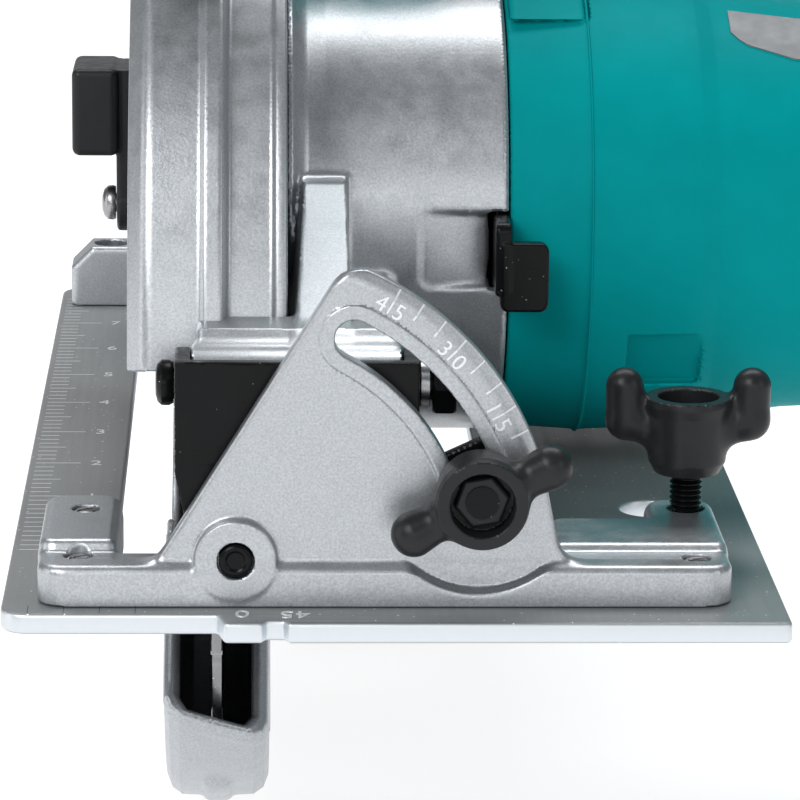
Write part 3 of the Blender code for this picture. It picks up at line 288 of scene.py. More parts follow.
def surface(field, low, high, step):
    """Vertices and quads of a field's zero surface, one vertex in each cell that it crosses."""
    blocks = [int(ceil(((b - a) / step + 2) / BLOCK)) for a, b in zip(low, high)]
    values = sample(field, np.array(low, float) - step, step, blocks)
    inside = values < 0
    total = np.zeros([n - 1 for n in inside.shape], np.uint8)
    window = (slice(0, -1), slice(1, None))
    for corner_of_cell in product(window, repeat=3):
        total += inside[corner_of_cell]
    active = (total > 0) & (total < 8)
    cells = np.argwhere(active)
    index = np.full(active.shape, -1, np.int64)
    index[active] = np.arange(len(cells))
    crossings = np.zeros((len(cells), 3))
    hits = np.zeros(len(cells))
    for axis in range(3):
        step_to = np.zeros(3, int)
        step_to[axis] = 1
        for edge in product((0, 1), repeat=2):
            start = np.zeros(3, int)
            start[list(ACROSS[axis])] = edge
            first = values[tuple((cells + start).T)]
            last = values[tuple((cells + start + step_to).T)]
            crossed = (first < 0) != (last < 0)
            share = first[crossed] / (first[crossed] - last[crossed])
            crossings[crossed] += cells[crossed] + start + share[:, None] * step_to
            hits[crossed] += 1
    points = np.array(low, float) - step + step * crossings / hits[:, None]
    quads = []
    for axis in range(3):
        ahead = [slice(None)] * 3
        behind = [slice(None)] * 3
        ahead[axis] = slice(1, None)
        behind[axis] = slice(0, -1)
        crossed = inside[tuple(behind)] != inside[tuple(ahead)]
        at = np.argwhere(crossed)
        u, v = (axis + 1) % 3, (axis + 2) % 3
        at = at[(at[:, u] > 0) & (at[:, v] > 0) & (at[:, u] < active.shape[u]) & (
                at[:, v] < active.shape[v])]
        back_u = np.zeros(3, int)
        back_v = np.zeros(3, int)
        back_u[u] = 1
        back_v[v] = 1
        ring = [at, at - back_u, at - back_u - back_v, at - back_v]
        corners = np.stack([index[tuple(c.T)] for c in ring], 1)
        outward = inside[tuple(at.T)]
        corners[~outward] = corners[~outward][:, ::-1]
        quads.append(corners)
    return pull_to_surface(field, points.astype(np.float32), step), np.concatenate(quads)


def thin_out(mesh, share):
    """Fewer faces, mostly on flat ground."""
    carrier = bpy.data.objects.new("carrier", mesh)
    bpy.context.scene.collection.objects.link(carrier)
    modifier = carrier.modifiers.new("fewer", "DECIMATE")
    modifier.ratio = share
    evaluated = carrier.evaluated_get(bpy.context.evaluated_depsgraph_get())
    result = bpy.data.meshes.new_from_object(evaluated)
    bpy.data.objects.remove(carrier)
    bpy.data.meshes.remove(mesh)
    return result


def read_array(items, name, width, kind=np.float32):
    values = np.empty(len(items) * width, kind)
    items.foreach_get(name, values)
    return values.reshape(-1, width)


def corner_normals(mesh, normals, step):
    """The field's normal at each face corner, or the face's own beside a sharp edge."""
    sides = read_array(mesh.polygons, "loop_total", 1, np.int32).ravel()
    owner = np.repeat(np.arange(len(sides)), sides)
    flat = read_array(mesh.polygons, "normal", 3)[owner]
    reach = np.sqrt(read_array(mesh.polygons, "area", 1)).ravel()[owner] / step
    turn = np.clip(TURN_LIMIT / np.maximum(reach, 0.1), LEAST_TURN, MOST_TURN)
    limit = np.cos(np.radians(turn))
    result = normals[read_array(mesh.loops, "vertex_index", 1, np.int32).ravel()]
    sharp = (result * flat).sum(1) < limit
    result[sharp] = flat[sharp]
    return result


def mesh_from_field(field, low, high, step, share):
    step = step * COARSE
    points, quads = surface(field, low, high, step)
    mesh = bpy.data.meshes.new("cast")
    mesh.from_pydata(points.tolist(), [], quads.tolist())
    mesh = thin_out(mesh, share)
    points = read_array(mesh.vertices, "co", 3)
    normals = slopes(field, points, step * 0.3)
    normals /= np.maximum(np.linalg.norm(normals, axis=1), 1e-6)[:, None]
    corners = corner_normals(mesh, normals, step)
    mesh.vertices.foreach_set("co", (points * MM).ravel())
    mesh.shade_smooth()
    mesh.normals_split_custom_set(corners.tolist())
    mesh.update()
    return mesh


# ---------------------------------------------------------------- placing pieces

MATERIALS = {}


def place(mesh, name, node, slot=None):
    """An object of a mesh that rides with a CAD node, in the node's slot unless another is given."""
    mesh.name = name
    piece = bpy.data.objects.new(name, mesh)
    bpy.context.scene.collection.objects.link(piece)
    slot = slot or NODE_SLOT[node]
    mesh.materials.clear()
    mesh.materials.append(MATERIALS[slot])
    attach(piece, NODE_BODY[node])
    return piece


def stand_in(node, mesh):
    """A mesh in place of a CAD node."""
    piece = place(mesh, node + "_detail", node)
    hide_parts(node)


def cast(node, field, step=0.6, share=0.3, low=None, high=None):
    """A field's surface in place of a CAD node, sought in the node's box with a margin."""
    box_low, box_high = low_high(node)
    low = box_low - CAST_MARGIN if low is None else low
    high = box_high + CAST_MARGIN if high is None else high
    stand_in(node, mesh_from_field(field, low, high, step, share))


def lathe(node, start, direction, profile, sides=64):
    """A turned mesh in place of a CAD node."""
    stand_in(node, lathe_mesh(start, direction, profile, sides))


PLANES = {
    X: Matrix(((0, 0, 1), (1, 0, 0), (0, 1, 0))).to_4x4(),
    Y: Matrix(((1, 0, 0), (0, 0, -1), (0, 1, 0))).to_4x4(),
    Z: Matrix.Identity(4),
}


def sheet_mesh(axis, outlines, low, high, edge=0.4):
    """Flat sheet with holes, its edges rounded, from outlines in millimetres."""
    curve = bpy.data.curves.new("sheet", "CURVE")
    curve.dimensions = "2D"
    curve.fill_mode = "BOTH"
    curve.bevel_depth = edge * MM
    curve.bevel_resolution = 2
    curve.offset = -edge * MM
    curve.extrude = ((high - low) / 2 - edge) * MM
    for outline in outlines:
        spline = curve.splines.new("POLY")
        spline.points.add(len(outline) - 1)
        for point, (a, b) in zip(spline.points, outline):
            point.co = (a * MM, b * MM, 0, 1)
        spline.use_cyclic_u = True
    guide = bpy.data.objects.new("guide", curve)
    bpy.context.scene.collection.objects.link(guide)
    centre = [0, 0, 0]
    centre[axis] = (low + high) / 2 * MM
    bpy.context.view_layer.update()
    mesh = bpy.data.meshes.new_from_object(guide.evaluated_get(bpy.context.evaluated_depsgraph_get()))
    bpy.data.objects.remove(guide)
    mesh.transform(Matrix.Translation(centre) @ PLANES[axis])
    weld(mesh)
    mesh.shade_smooth()
    mesh.set_sharp_from_angle(angle=radians(50))
    return mesh


def weld(mesh):
    work = bmesh.new()
    work.from_mesh(mesh)
    bmesh.ops.remove_doubles(work, verts=work.verts, dist=1e-6)
    bmesh.ops.recalc_face_normals(work, faces=work.faces)
    work.to_mesh(mesh)
    work.free()


def lathe_mesh(start, direction, profile, sides):
    """Closed profile of (along, radius) turned about a line, in millimetres."""
    turn = Vector((0, 0, 1)).rotation_difference(Vector(direction)).to_matrix()
    origin = Vector(start)
    points = []
    for along, radius in profile:
        if radius == 0:
            points.append([origin + turn @ Vector((0, 0, along))] * sides)
            continue
        ring = [Vector((radius * cos(2 * pi * k / sides), radius * sin(2 * pi * k / sides), along))
                for k in range(sides)]
        points.append([origin + turn @ spot for spot in ring])
    vertices = [spot * MM for ring in points for spot in ring]
    faces = []
    for ring in range(len(profile)):
        after = (ring + 1) % len(profile)
        for k in range(sides):
            here, there = k, (k + 1) % sides
            faces.append((ring * sides + here, ring * sides + there, after * sides + there,
                    after * sides + here))
    mesh = bpy.data.meshes.new("lathe")
    mesh.from_pydata(vertices, [], faces)
    weld(mesh)
    mesh.shade_smooth()
    mesh.set_sharp_from_angle(angle=radians(40))
    return mesh


def bars_mesh(bars):
    """Small square bars, each (start, end, half width, half height, up), as one mesh."""
    vertices, faces = [], []
    for start, end, half_width, half_height, up in bars:
        a, b, rise = Vector(start), Vector(end), Vector(up).normalized()
        across = (b - a).cross(rise).normalized() * half_width
        lift = rise * half_height
        base = len(vertices)
        for end_point in (a, b):
            for s, t in ((-1, -1), (1, -1), (1, 1), (-1, 1)):
                vertices.append((end_point + across * s + lift * t) * MM)
        for face in ((0, 1, 2, 3), (7, 6, 5, 4), (0, 4, 5, 1), (1, 5, 6, 2), (2, 6, 7, 3), (3, 7, 4, 0)):
            faces.append([base + k for k in face])
    mesh = bpy.data.meshes.new("bars")
    mesh.from_pydata(vertices, [], faces)
    weld(mesh)
    return mesh


def figures_mesh(figures, height, thickness):
    """Numbers as thin solids. Each is (text, place, right, up) in millimetres."""
    whole = bmesh.new()
    for text, spot, right, up in figures:
        curve = bpy.data.curves.new("figure", "FONT")
        curve.body = text
        curve.size = height / 0.7 * MM
        curve.align_x = "CENTER"
        curve.align_y = "CENTER"
        curve.extrude = thickness / 2 * MM
        curve.resolution_u = 3
        carrier = bpy.data.objects.new("carrier", curve)
        bpy.context.scene.collection.objects.link(carrier)
        bpy.context.view_layer.update()
        mesh = bpy.data.meshes.new_from_object(carrier.evaluated_get(bpy.context.evaluated_depsgraph_get()))
        bpy.data.objects.remove(carrier)
        x_axis, y_axis = Vector(right).normalized(), Vector(up).normalized()
        turn = Matrix((x_axis, y_axis, x_axis.cross(y_axis))).transposed().to_4x4()
        mesh.transform(Matrix.Translation(Vector(spot) * MM) @ turn)
        whole.from_mesh(mesh)
        bpy.data.meshes.remove(mesh)
    bmesh.ops.remove_doubles(whole, verts=whole.verts, dist=1e-7)
    mesh = bpy.data.meshes.new("figures")
    whole.to_mesh(mesh)
    whole.free()
    return mesh


# ---------------------------------------------------------------- outlines, in millimetres


def arc(centre, radius, start, end, steps):
    angles = [radians(start + (end - start) * k / steps) for k in range(steps + 1)]
    return [(centre[0] + radius * cos(a), centre[1] + radius * sin(a)) for a in angles]


def circle(centre, radius):
    return arc(centre, radius, 0, 360, 48)[:-1]


def rounded(corners, steps=6):
    """Outline through (a, b, corner radius), each corner replaced by an arc."""
    points = []
    for index, (a, b, radius) in enumerate(corners):
        here = Vector((a, b))
        if radius == 0:
            points.append((a, b))
            continue
        back = (Vector(corners[index - 1][:2]) - here).normalized()
        ahead = (Vector(corners[(index + 1) % len(corners)][:2]) - here).normalized()
        half = back.angle(ahead) / 2
        centre = here + (back + ahead).normalized() * radius / sin(half)
        first = here + back * radius / tan(half) - centre
        last = here + ahead * radius / tan(half) - centre
        start = atan2(first.y, first.x)
        sweep = (atan2(last.y, last.x) - start + pi) % (2 * pi) - pi
        for step in range(steps + 1):
            angle = start + sweep * step / steps
            points.append((centre.x + radius * cos(angle), centre.y + radius * sin(angle)))
    return points


def slot_outline(centre, radius, half_width, start, end, steps=24):
    """Curved slot round a centre, with round ends."""
    near = (centre[0] + radius * cos(radians(start)), centre[1] + radius * sin(radians(start)))
    far = (centre[0] + radius * cos(radians(end)), centre[1] + radius * sin(radians(end)))
    return [*arc(centre, radius + half_width, start, end, steps),
            *arc(far, half_width, end, end + 180, 10)[1:-1],
            *arc(centre, radius - half_width, end, start, steps),
            *arc(near, half_width, start + 180, start + 360, 10)[1:-1]]


def hexagon(centre, radius, turn=0):
    return arc(centre, radius, turn, turn + 360, 6)[:-1]


# ---------------------------------------------------------------- materials


class Finish:
    """A material's nodes, with short names for what the finishes below need."""

    def __init__(self, name, colour, roughness, metallic=0.0):
        self.material = bpy.data.materials.new(name)
        self.material.use_nodes = True
        self.nodes = self.material.node_tree.nodes
        self.links = self.material.node_tree.links
        self.shader = self.nodes["Principled BSDF"]
        self.shader.inputs["Base Color"].default_value = (*colour, 1)
        self.shader.inputs["Roughness"].default_value = roughness
        self.shader.inputs["Metallic"].default_value = metallic
        self.position = self.nodes.new("ShaderNodeTexCoord").outputs["Object"]
        self.normal = None

    def noise(self, scale, detail=2.0, stretch=(1, 1, 1)):
        spot = self.position
        if stretch != (1, 1, 1):
            mapping = self.nodes.new("ShaderNodeMapping")
            mapping.inputs["Scale"].default_value = stretch
            self.links.new(spot, mapping.inputs["Vector"])
            spot = mapping.outputs["Vector"]
        noise = self.nodes.new("ShaderNodeTexNoise")
        noise.inputs["Scale"].default_value = scale
        noise.inputs["Detail"].default_value = detail
        self.links.new(spot, noise.inputs["Vector"])
        return noise.outputs["Fac"]

    def ramp(self, value, low, high, first, last):
        """Map value from low..high to first..last, which are numbers or colours."""
        mapper = self.nodes.new("ShaderNodeMapRange")
        mapper.inputs["From Min"].default_value = low
        mapper.inputs["From Max"].default_value = high
        self.links.new(value, mapper.inputs["Value"])
        if not isinstance(first, tuple):
            mapper.inputs["To Min"].default_value = first
            mapper.inputs["To Max"].default_value = last
            return mapper.outputs["Result"]
        mix = self.nodes.new("ShaderNodeMix")
        mix.data_type = "RGBA"
        self.links.new(mapper.outputs["Result"], mix.inputs["Factor"])
        mix.inputs["A"].default_value = (*first, 1)
        mix.inputs["B"].default_value = (*last, 1)
        return mix.outputs["Result"]

    def steepness(self):
        """1 where the surface is level, 0 where it is upright."""
        normal = self.nodes.new("ShaderNodeNewGeometry").outputs["Normal"]
        parts = self.nodes.new("ShaderNodeSeparateXYZ")
        self.links.new(normal, parts.inputs["Vector"])
        size = self.nodes.new("ShaderNodeMath")
        size.operation = "ABSOLUTE"
        self.links.new(parts.outputs["Z"], size.inputs[0])
        return size.outputs["Value"]

    def blend(self, share, colour, over):
        mix = self.nodes.new("ShaderNodeMix")
        mix.data_type = "RGBA"
        self.links.new(share, mix.inputs["Factor"])
        self.links.new(over, mix.inputs["A"])
        mix.inputs["B"].default_value = (*colour, 1)
        return mix.outputs["Result"]

    def set(self, socket, value):
        self.links.new(value, self.shader.inputs[socket])

    def bump(self, height, strength, depth):
        bump = self.nodes.new("ShaderNodeBump")
        bump.inputs["Strength"].default_value = strength
        bump.inputs["Distance"].default_value = depth
        self.links.new(height, bump.inputs["Height"])
        if self.normal:
            self.links.new(self.normal, bump.inputs["Normal"])
        self.normal = bump.outputs["Normal"]
        self.links.new(self.normal, self.shader.inputs["Normal"])


def cast_paint(name, colour, grain):
    """Silver sparkle paint over a cast surface."""
    finish = Finish(name, colour, 0.36, 0.85)
    flakes = finish.noise(2600, 1.0)
    dark = tuple(c * 0.86 for c in colour)
    light = tuple(min(c * 1.12, 1) for c in colour)
    finish.set("Base Color", finish.ramp(flakes, 0.3, 0.7, dark, light))
    finish.set("Roughness", finish.ramp(finish.noise(240, 3.0), 0.3, 0.7, 0.31, 0.41))
    finish.bump(finish.noise(1500, 2.0), 0.28 * grain, 0.00008)
    finish.bump(flakes, 0.2, 0.00003)
    return finish.material


def moulded(name, colour, roughness, grain, depth, shine=0.4):
    """Moulded plastic with a fine spark-eroded grain."""
    finish = Finish(name, colour, roughness)
    finish.shader.inputs["Specular IOR Level"].default_value = shine
    tone = finish.noise(60, 3.0)
    finish.set("Base Color", finish.ramp(tone, 0.3, 0.7, tuple(c * 0.94 for c in colour),
                                         tuple(c * 1.06 for c in colour)))
    finish.set("Roughness", finish.ramp(finish.noise(450, 2.0), 0.3, 0.7, roughness - 0.05,
            roughness + 0.06))
    finish.bump(finish.noise(grain, 2.0), 0.3, depth)
    return finish.material


def lacquer(name, colour):
    """Glossy black coating with orange peel and a few dust specks."""
    finish = Finish(name, colour, 0.24)
    specks = finish.ramp(finish.noise(1700, 0.0), 0.84, 0.87, 0.0, 1.0)
    base = finish.ramp(finish.noise(90, 2.0), 0.3, 0.7, colour, tuple(c * 1.5 for c in colour))
    finish.set("Base Color", finish.blend(specks, (0.35, 0.36, 0.37), base))
    finish.set("Roughness", finish.ramp(finish.noise(150, 3.0), 0.3, 0.7, 0.2, 0.32))
    finish.bump(finish.noise(420, 1.0), 0.12, 0.0001)
    finish.shader.inputs["Specular IOR Level"].default_value = 0.15
    return finish.material


def sheet_steel(name, colour, roughness, stretch, upright_highlight_colour=None):
    """Rolled sheet with faint lines and scattered bright specks. Its upright faces may get a painted
    highlight: a brighter colour than its top, standing in for the light they catch.
    """
    finish = Finish(name, colour, roughness, 1.0)
    lines = finish.noise(900, 3.0, stretch)
    cloud = finish.noise(30, 4.0)
    base = finish.ramp(cloud, 0.3, 0.7, tuple(c * 0.9 for c in colour), tuple(c * 1.08 for c in colour))
    specks = finish.ramp(finish.noise(1500, 0.0), 0.82, 0.85, 0.0, 1.0)
    base = finish.blend(specks, (0.85, 0.86, 0.87), base)
    if upright_highlight_colour:
        # Painted highlight: upright faces such as the plate's front lip get the brighter colour and their
        # own metallic value, in place of the light they catch.
        upright = finish.ramp(finish.steepness(), 0.5, 0.8, 1.0, 0.0)
        base = finish.blend(upright, upright_highlight_colour, base)
        finish.set("Metallic", finish.ramp(upright, 0.0, 1.0, 0.3, 1.0))
    finish.set("Base Color", base)
    finish.set("Roughness", finish.ramp(lines, 0.25, 0.75, roughness - 0.04, roughness + 0.06))
    finish.bump(finish.noise(1300, 2.0), 0.1, 0.00003)
    return finish.material


def machined(name, colour, roughness, metallic=1.0):
    finish = Finish(name, colour, roughness, metallic)
    finish.set("Roughness", finish.ramp(finish.noise(500, 3.0), 0.3, 0.7, roughness - 0.06,
            roughness + 0.08))
    finish.bump(finish.noise(1600, 2.0), 0.12, 0.00003)
    return finish.material


def make_materials():
    MATERIALS["cast_silver"] = cast_paint("cast_silver", (0.455, 0.478, 0.50), 1.0)
    # The plate's last colour is a painted highlight for its upright faces, such as the front lip.
    MATERIALS["plate_steel"] = sheet_steel("plate_steel", (0.23, 0.24, 0.245), 0.42, (1, 0.03, 1),
            (0.66, 0.70, 0.73))
    MATERIALS["blade_steel"] = sheet_steel("blade_steel", (0.30, 0.30, 0.31), 0.28, (1, 1, 1))
    MATERIALS["black_steel"] = lacquer("black_steel", (0.003, 0.0033, 0.0036))
    MATERIALS["bright_steel"] = machined("bright_steel", (0.36, 0.36, 0.37), 0.3)
    MATERIALS["teal_plastic"] = moulded("teal_plastic", (0.0, 0.255, 0.268), 0.5, 2200, 0.00003, 0.03)
    MATERIALS["black_plastic"] = moulded("black_plastic", (0.012, 0.0128, 0.014), 0.36, 1500, 0.00008, 0.26)
    MATERIALS["copper"] = machined("copper", (0.72, 0.36, 0.2), 0.3)
    MATERIALS["carbon"] = moulded("carbon", (0.03, 0.03, 0.03), 0.6, 900, 0.00005)
    MATERIALS["scale_marks"] = machined("scale_marks", (0.75, 0.77, 0.79), 0.4, 0.6)
    MATERIALS["dark_marks"] = moulded("dark_marks", (0.05, 0.052, 0.055), 0.6, 900, 0.00002)
    MATERIALS["guard_inside"] = moulded("guard_inside", (0.015, 0.016, 0.017), 0.65, 900, 0.00005)
    MATERIALS["name_plate"] = machined("name_plate", (0.24, 0.25, 0.26), 0.6, 0.6)


# ---------------------------------------------------------------- base plate

INCH = 25.4
RULER_ZERO = 60
RULER_EIGHTHS = 64
LIP_LINE_X = -14.05


def base_plate():
    left, right = PLATE_LOW[0], PLATE_HIGH[0]
    front, rear = PLATE_LOW[1], PLATE_HIGH[1]
    outline = rounded([
        (left, front + 5.5, 5), (0.5, front + 5.5, 1), (1.7, front, 1), (8.3, front, 0.5),
        (9.2, front + 1.8, 0.5), (12.2, front + 1.8, 0.5), (13.1, front, 0.5),
        (right, front, 1.4), (right, rear, 6), (left, rear, 6)])
    opening = rounded([(-18.5, 22, 3), (29, 22, 3), (29, 92, 3), (52, 96, 4), (52, 154, 4), (29, 158, 3),
                       (29, 222, 3), (-18.5, 222, 3)])
    holes = [opening, circle((84, 59), 6)]
    stand_in("base_plate", sheet_mesh(Z, [outline, *holes], PLATE_LOW[2], PLATE_HIGH[2], 0.7))
    plate_marks(left, front, PLATE_HIGH[2])


def plate_marks(left, front, top):
    """Inch ruler on the left strip, quarter-inch lines on the front lip and the cutting marks."""
    zero = front + RULER_ZERO
    bars = []
    figures = []
    for count in range(-4, RULER_EIGHTHS + 1):
        y = zero + count * INCH / 8
        length = 9 if count % 8 == 0 else 5.5 if count % 4 == 0 else 3.8
        bars.append(((left + 1.4, y, top), (left + 1.4 + length, y, top), 0.14, 0.03, (0, 0, 1)))
        if count % 8 == 0 and count > 0:
            figures.append((str(count // 8), (left + 13.5, y, top), (1, 0, 0), (0, 1, 0)))
    place(bars_mesh(bars), "ruler_lines", "base_plate", "scale_marks")
    place(figures_mesh(figures, 3.4, 0.06), "ruler_numbers", "base_plate", "scale_marks")
    lines = []
    for count in range(4):
        x = LIP_LINE_X - count * INCH / 4
        lines.append(((x, front + 6.2, top), (x, front + 11.0, top), 0.07, 0.02, (0, 0, 1)))
    place(bars_mesh(lines), "lip_lines", "base_plate", "dark_marks")
    marks = [("0", (4.9, front + 5.4, top), (1, 0, 0), (0, 1, 0)),
             ("45", (14.2, front + 5.4, top), (-1, 0, 0), (0, -1, 0))]
    place(figures_mesh(marks, 4.0, 0.3), "cut_numbers", "base_plate", "scale_marks")


# ---------------------------------------------------------------- front bracket

FACE_Y = -6.6
LEDGE_Z = 11.3
LEFT_LEG_Z = 13.4
RIGHT_LEG_Z = 12.6
BAND_RADIUS = 54.4
BAND_SLOPE = 0.45
SLOT_RADIUS = 45.0
SCREW_HEADS = {"bracket_screw_left": LEDGE_Z, "bracket_screw_right": LEDGE_Z,
        "bracket_screw_leg": LEFT_LEG_Z}


def quadrant_outline():
    arch = arc(PIVOT, 57, 17, 66, 30)
    right_foot = rounded([(88, 6, 0), (88, 10.5, 2), (62, 10.5, 7), (*arch[0], 0)])
    left_side = rounded([(*arch[-1], 0), (22.6, 65.2, 6), (-11.2, 10.5, 7), (-26, 10.5, 2), (-26, 6, 0)])
    return right_foot + arch[1:-1] + left_side


def front_bracket():
    low, high = BRACKET_LOW, BRACKET_HIGH
    face = slab(Y, quadrant_outline(), FACE_Y, FACE_Y + 4, 1.1)

    def outer_band(p):
        radius = np.hypot(p[:, X] - PIVOT[0], p[:, Z] - PIVOT[1])
        depth = p[:, Y] - FACE_Y
        past = np.where(p[:, Z] > 27, radius - BAND_RADIUS, -9.0)
        return (depth - past * BAND_SLOPE) / hypot(1, BAND_SLOPE)
    face = cut(face, outer_band, soft=0.5)
    border = slab(Y, slot_outline(PIVOT, SLOT_RADIUS, 6.3, 14, 62.5), FACE_Y - 0.45, FACE_Y + 2, 0.4)
    face = join(face, border, soft=0.35)
    footprint = rounded([
        (low[0], low[1], 5), (high[0], low[1], 5), (high[0], 34, 4), (80, 34, 4), (80, 21, 2),
        (58, 21, 3), (58, 2, 1), (33, 2, 1), (33, -2.6, 1), (-9, -2.6, 1), (-9, 2, 1), (-17.5, 2, 1),
        (-17.5, 34, 4), (low[0], 34, 4)])
    foot = slab(Z, footprint, 0, LEDGE_Z, 1.7)
    left_leg = rounded([(low[0], 1.5, 3), (-17.5, 1.5, 1.5), (-17.5, 34, 4), (low[0], 34, 4)])
    right_leg = rounded([(61, 2, 2), (high[0], 2, 3), (high[0], 34, 4), (80, 34, 4), (80, 21, 2),
            (61, 21, 3)])
    upper = join(slab(Z, left_leg, 0, LEFT_LEG_Z, 1.7), slab(Z, right_leg, 0, RIGHT_LEG_Z, 1.7))
    foot = join(foot, upper, soft=1.2)
    foot = cut(foot, drum(Y, CLAMP, 18.4, -30, FACE_Y + 0.5, 0.1), soft=1.2)
    whole = join(foot, face, soft=1.6)
    whole = join(whole, drum(Y, PIVOT, 7.3, low[1], 0, 0.6), soft=1.0)
    tools = [slab(Y, slot_outline(PIVOT, SLOT_RADIUS, 3.5, 14, 62.5), -30, 30, 0),
             drum(Y, PIVOT, 3.3, -30, 30, 0)]
    whole = cut(whole, *tools, soft=0.5)
    sinks = []
    for node, top in SCREW_HEADS.items():
        spot = middle(node)
        sinks.append(drum(Z, spot[:2], 2.6, top - 2.6, 40, 0))
    sinks.append(drum(Z, FENCE, 3.5, 0, 40, 0))
    sinks.append(brick((70, 22.2, 3), (120, 31.2, 8.8), 0.3))
    whole = cut(whole, *sinks, soft=0.25)
    whole = keep(whole, side(Z, low[2], -1))
    cast("front_bracket", whole, 0.45, 0.3)
    bracket_scale()


def band_point(angle, radius):
    """Point on the bracket's face or on its sloping outer band."""
    depth = FACE_Y + max(0.0, radius - BAND_RADIUS) * BAND_SLOPE
    return (PIVOT[0] + radius * cos(angle), depth, PIVOT[1] + radius * sin(angle))


def bracket_scale():
    bars = []
    figures = []
    for degree in range(0, 46, 5):
        angle = radians(14.4 + degree)
        numbered = degree in (15, 30, 45)
        inner = 51.9 if numbered else 53.4
        normal = (0.42 * cos(angle), -1, 0.42 * sin(angle))
        bars.append((band_point(angle, inner), band_point(angle, BAND_RADIUS), 0.16, 0.3, (0, -1, 0)))
        bars.append((band_point(angle, BAND_RADIUS), band_point(angle, 56.6), 0.16, 0.24, normal))
        if numbered:
            right = (sin(angle), 0, -cos(angle))
            up = (cos(angle), 0, sin(angle))
            for text, offset in zip(str(degree), (1.75, -1.75)):
                share = angle + offset / 53
                figures.append((text, band_point(share, 53.0), right, up))
    place(bars_mesh(bars), "bracket_ticks", "front_bracket", "scale_marks")
    place(figures_mesh(figures, 2.9, 1.0), "bracket_numbers", "front_bracket", "scale_marks")


def slotted_screw(node, top, radius):
    spot = middle(node)
    field = join(turned(Z, spot[:2], [(top - 1.2, 0), (top - 1.2, radius), (top - 0.4, radius),
            (top - 0.05, radius * 0.7), (top + 0.1, 0)], 0.05),
            drum(Z, spot[:2], 2.0, low_high(node)[0][2], top - 0.9, 0.1))
    angle = 0.5
    across = (cos(angle), sin(angle))
    blade = [(spot[0] + a * across[0] - b * across[1], spot[1] + a * across[1] + b * across[0])
             for a, b in ((-3, -0.35), (3, -0.35), (3, 0.35), (-3, 0.35))]
    field = cut(field, slab(Z, blade, top - 0.7, top + 3, 0))
    box_low, box_high = low_high(node)
    high = np.array([box_high[0] + 1, box_high[1] + 1, top + 2])
    cast(node, field, 0.22, 0.4, low=box_low - 1, high=high)


def bracket_screws():
    for node, top in SCREW_HEADS.items():
        slotted_screw(node, top - 0.25, 2.3)
    for node in ("rear_screw_left", "rear_screw_right"):
        slotted_screw(node, 11.0, 3.5)


def rear_bracket():
    low, high = low_high("rear_bracket")
    lug = arc(PIVOT, 8.5, 20, 160, 14)
    outline = [(45, 3), (45, 11.5), *lug, (-14, 17.8), (-30.5, 17.8), (-35.3, 13), (-35.3, 3)]
    body = slab(Y, outline, low[1], high[1], 1.3)
    tools = [drum(Y, PIVOT, 3.3, 200, 300, 0)]
    for node in ("rear_screw_left", "rear_screw_right"):
        tools.append(drum(Z, middle(node)[:2], 4.0, 9.4, 40, 0))
    cast("rear_bracket", keep(cut(body, *tools, soft=0.4), side(Z, low[2], -1)), 0.6, 0.3)


def bevel_pins():
    low, high = low_high("front_bevel_pin")
    length = high[1] - low[1]
    profile = [(0.5, 0), (0.5, 1.5), (0.1, 1.9), (0, 2.2), (0.15, 2.75), (0.5, 3.0), (length, 3.0),
            (length, 0)]
    lathe("front_bevel_pin", (PIVOT[0], low[1], PIVOT[1]), (0, 1, 0), profile)
    low, high = low_high("rear_bevel_pin")
    length = high[1] - low[1]
    profile = [(0, 0), (0, 3.0), (length - 0.5, 3.0), (length, 2.4), (length, 0)]
    lathe("rear_bevel_pin", (PIVOT[0], low[1], PIVOT[1]), (0, 1, 0), profile)


# ---------------------------------------------------------------- wing bolt and wing knob


def fence_wing_bolt():
    low = low_high("fence_wing_bolt")[0]
    hub_low = 20.0
    hub_high = 33.8
    hub = turned(Z, FENCE, [(hub_low, 0), (hub_low, 5.8), (22.0, 6.9), (31.0, 7.4), (32.8, 7.9),
            (hub_high, 7.7), (hub_high, 0)], 0.3)
    wings = []
    for way in (-1, 1):
        root = (FENCE[0] + way * 6.0, FENCE[1], 27.6)
        elbow = (FENCE[0] + way * 11.4, FENCE[1], 29.6)
        tip = (FENCE[0] + way * 11.8, FENCE[1], 35.9)
        wings.append(join(capsule(root, elbow, 3.3, 3.7), capsule(elbow, tip, 3.7, 3.5), soft=1.0))
    body = join(hub, *wings, soft=2.2)
    body = cut(body, drum(Z, FENCE, 5.6, 28.6, 60, 0.3), soft=0.5)
    body = join(body, slab(Z, hexagon(FENCE, 4.9, 12), 26, 30.6, 0.5), soft=0.2)
    box_low = low - 1.5
    box_low[2] = hub_low - 1.5
    body = join(body, drum(Z, FENCE, 2.6, hub_low - 1, hub_low + 2, 0.2))
    cast("fence_wing_bolt", body, 0.45, 0.4, low=box_low)
    pitch = 1.0
    profile = [(0, 0)]
    along = 0.0
    while along < hub_low - low[2] - pitch:
        profile += [(along, 2.4), (along + pitch * 0.42, 3.0), (along + pitch * 0.58, 3.0)]
        along += pitch
    profile += [(along, 2.4), (along, 0)]
    thread = lathe_mesh((*FENCE, low[2]), (0, 0, 1), profile, 40)
    place(thread, "fence_bolt_thread", "fence_wing_bolt", "black_steel")


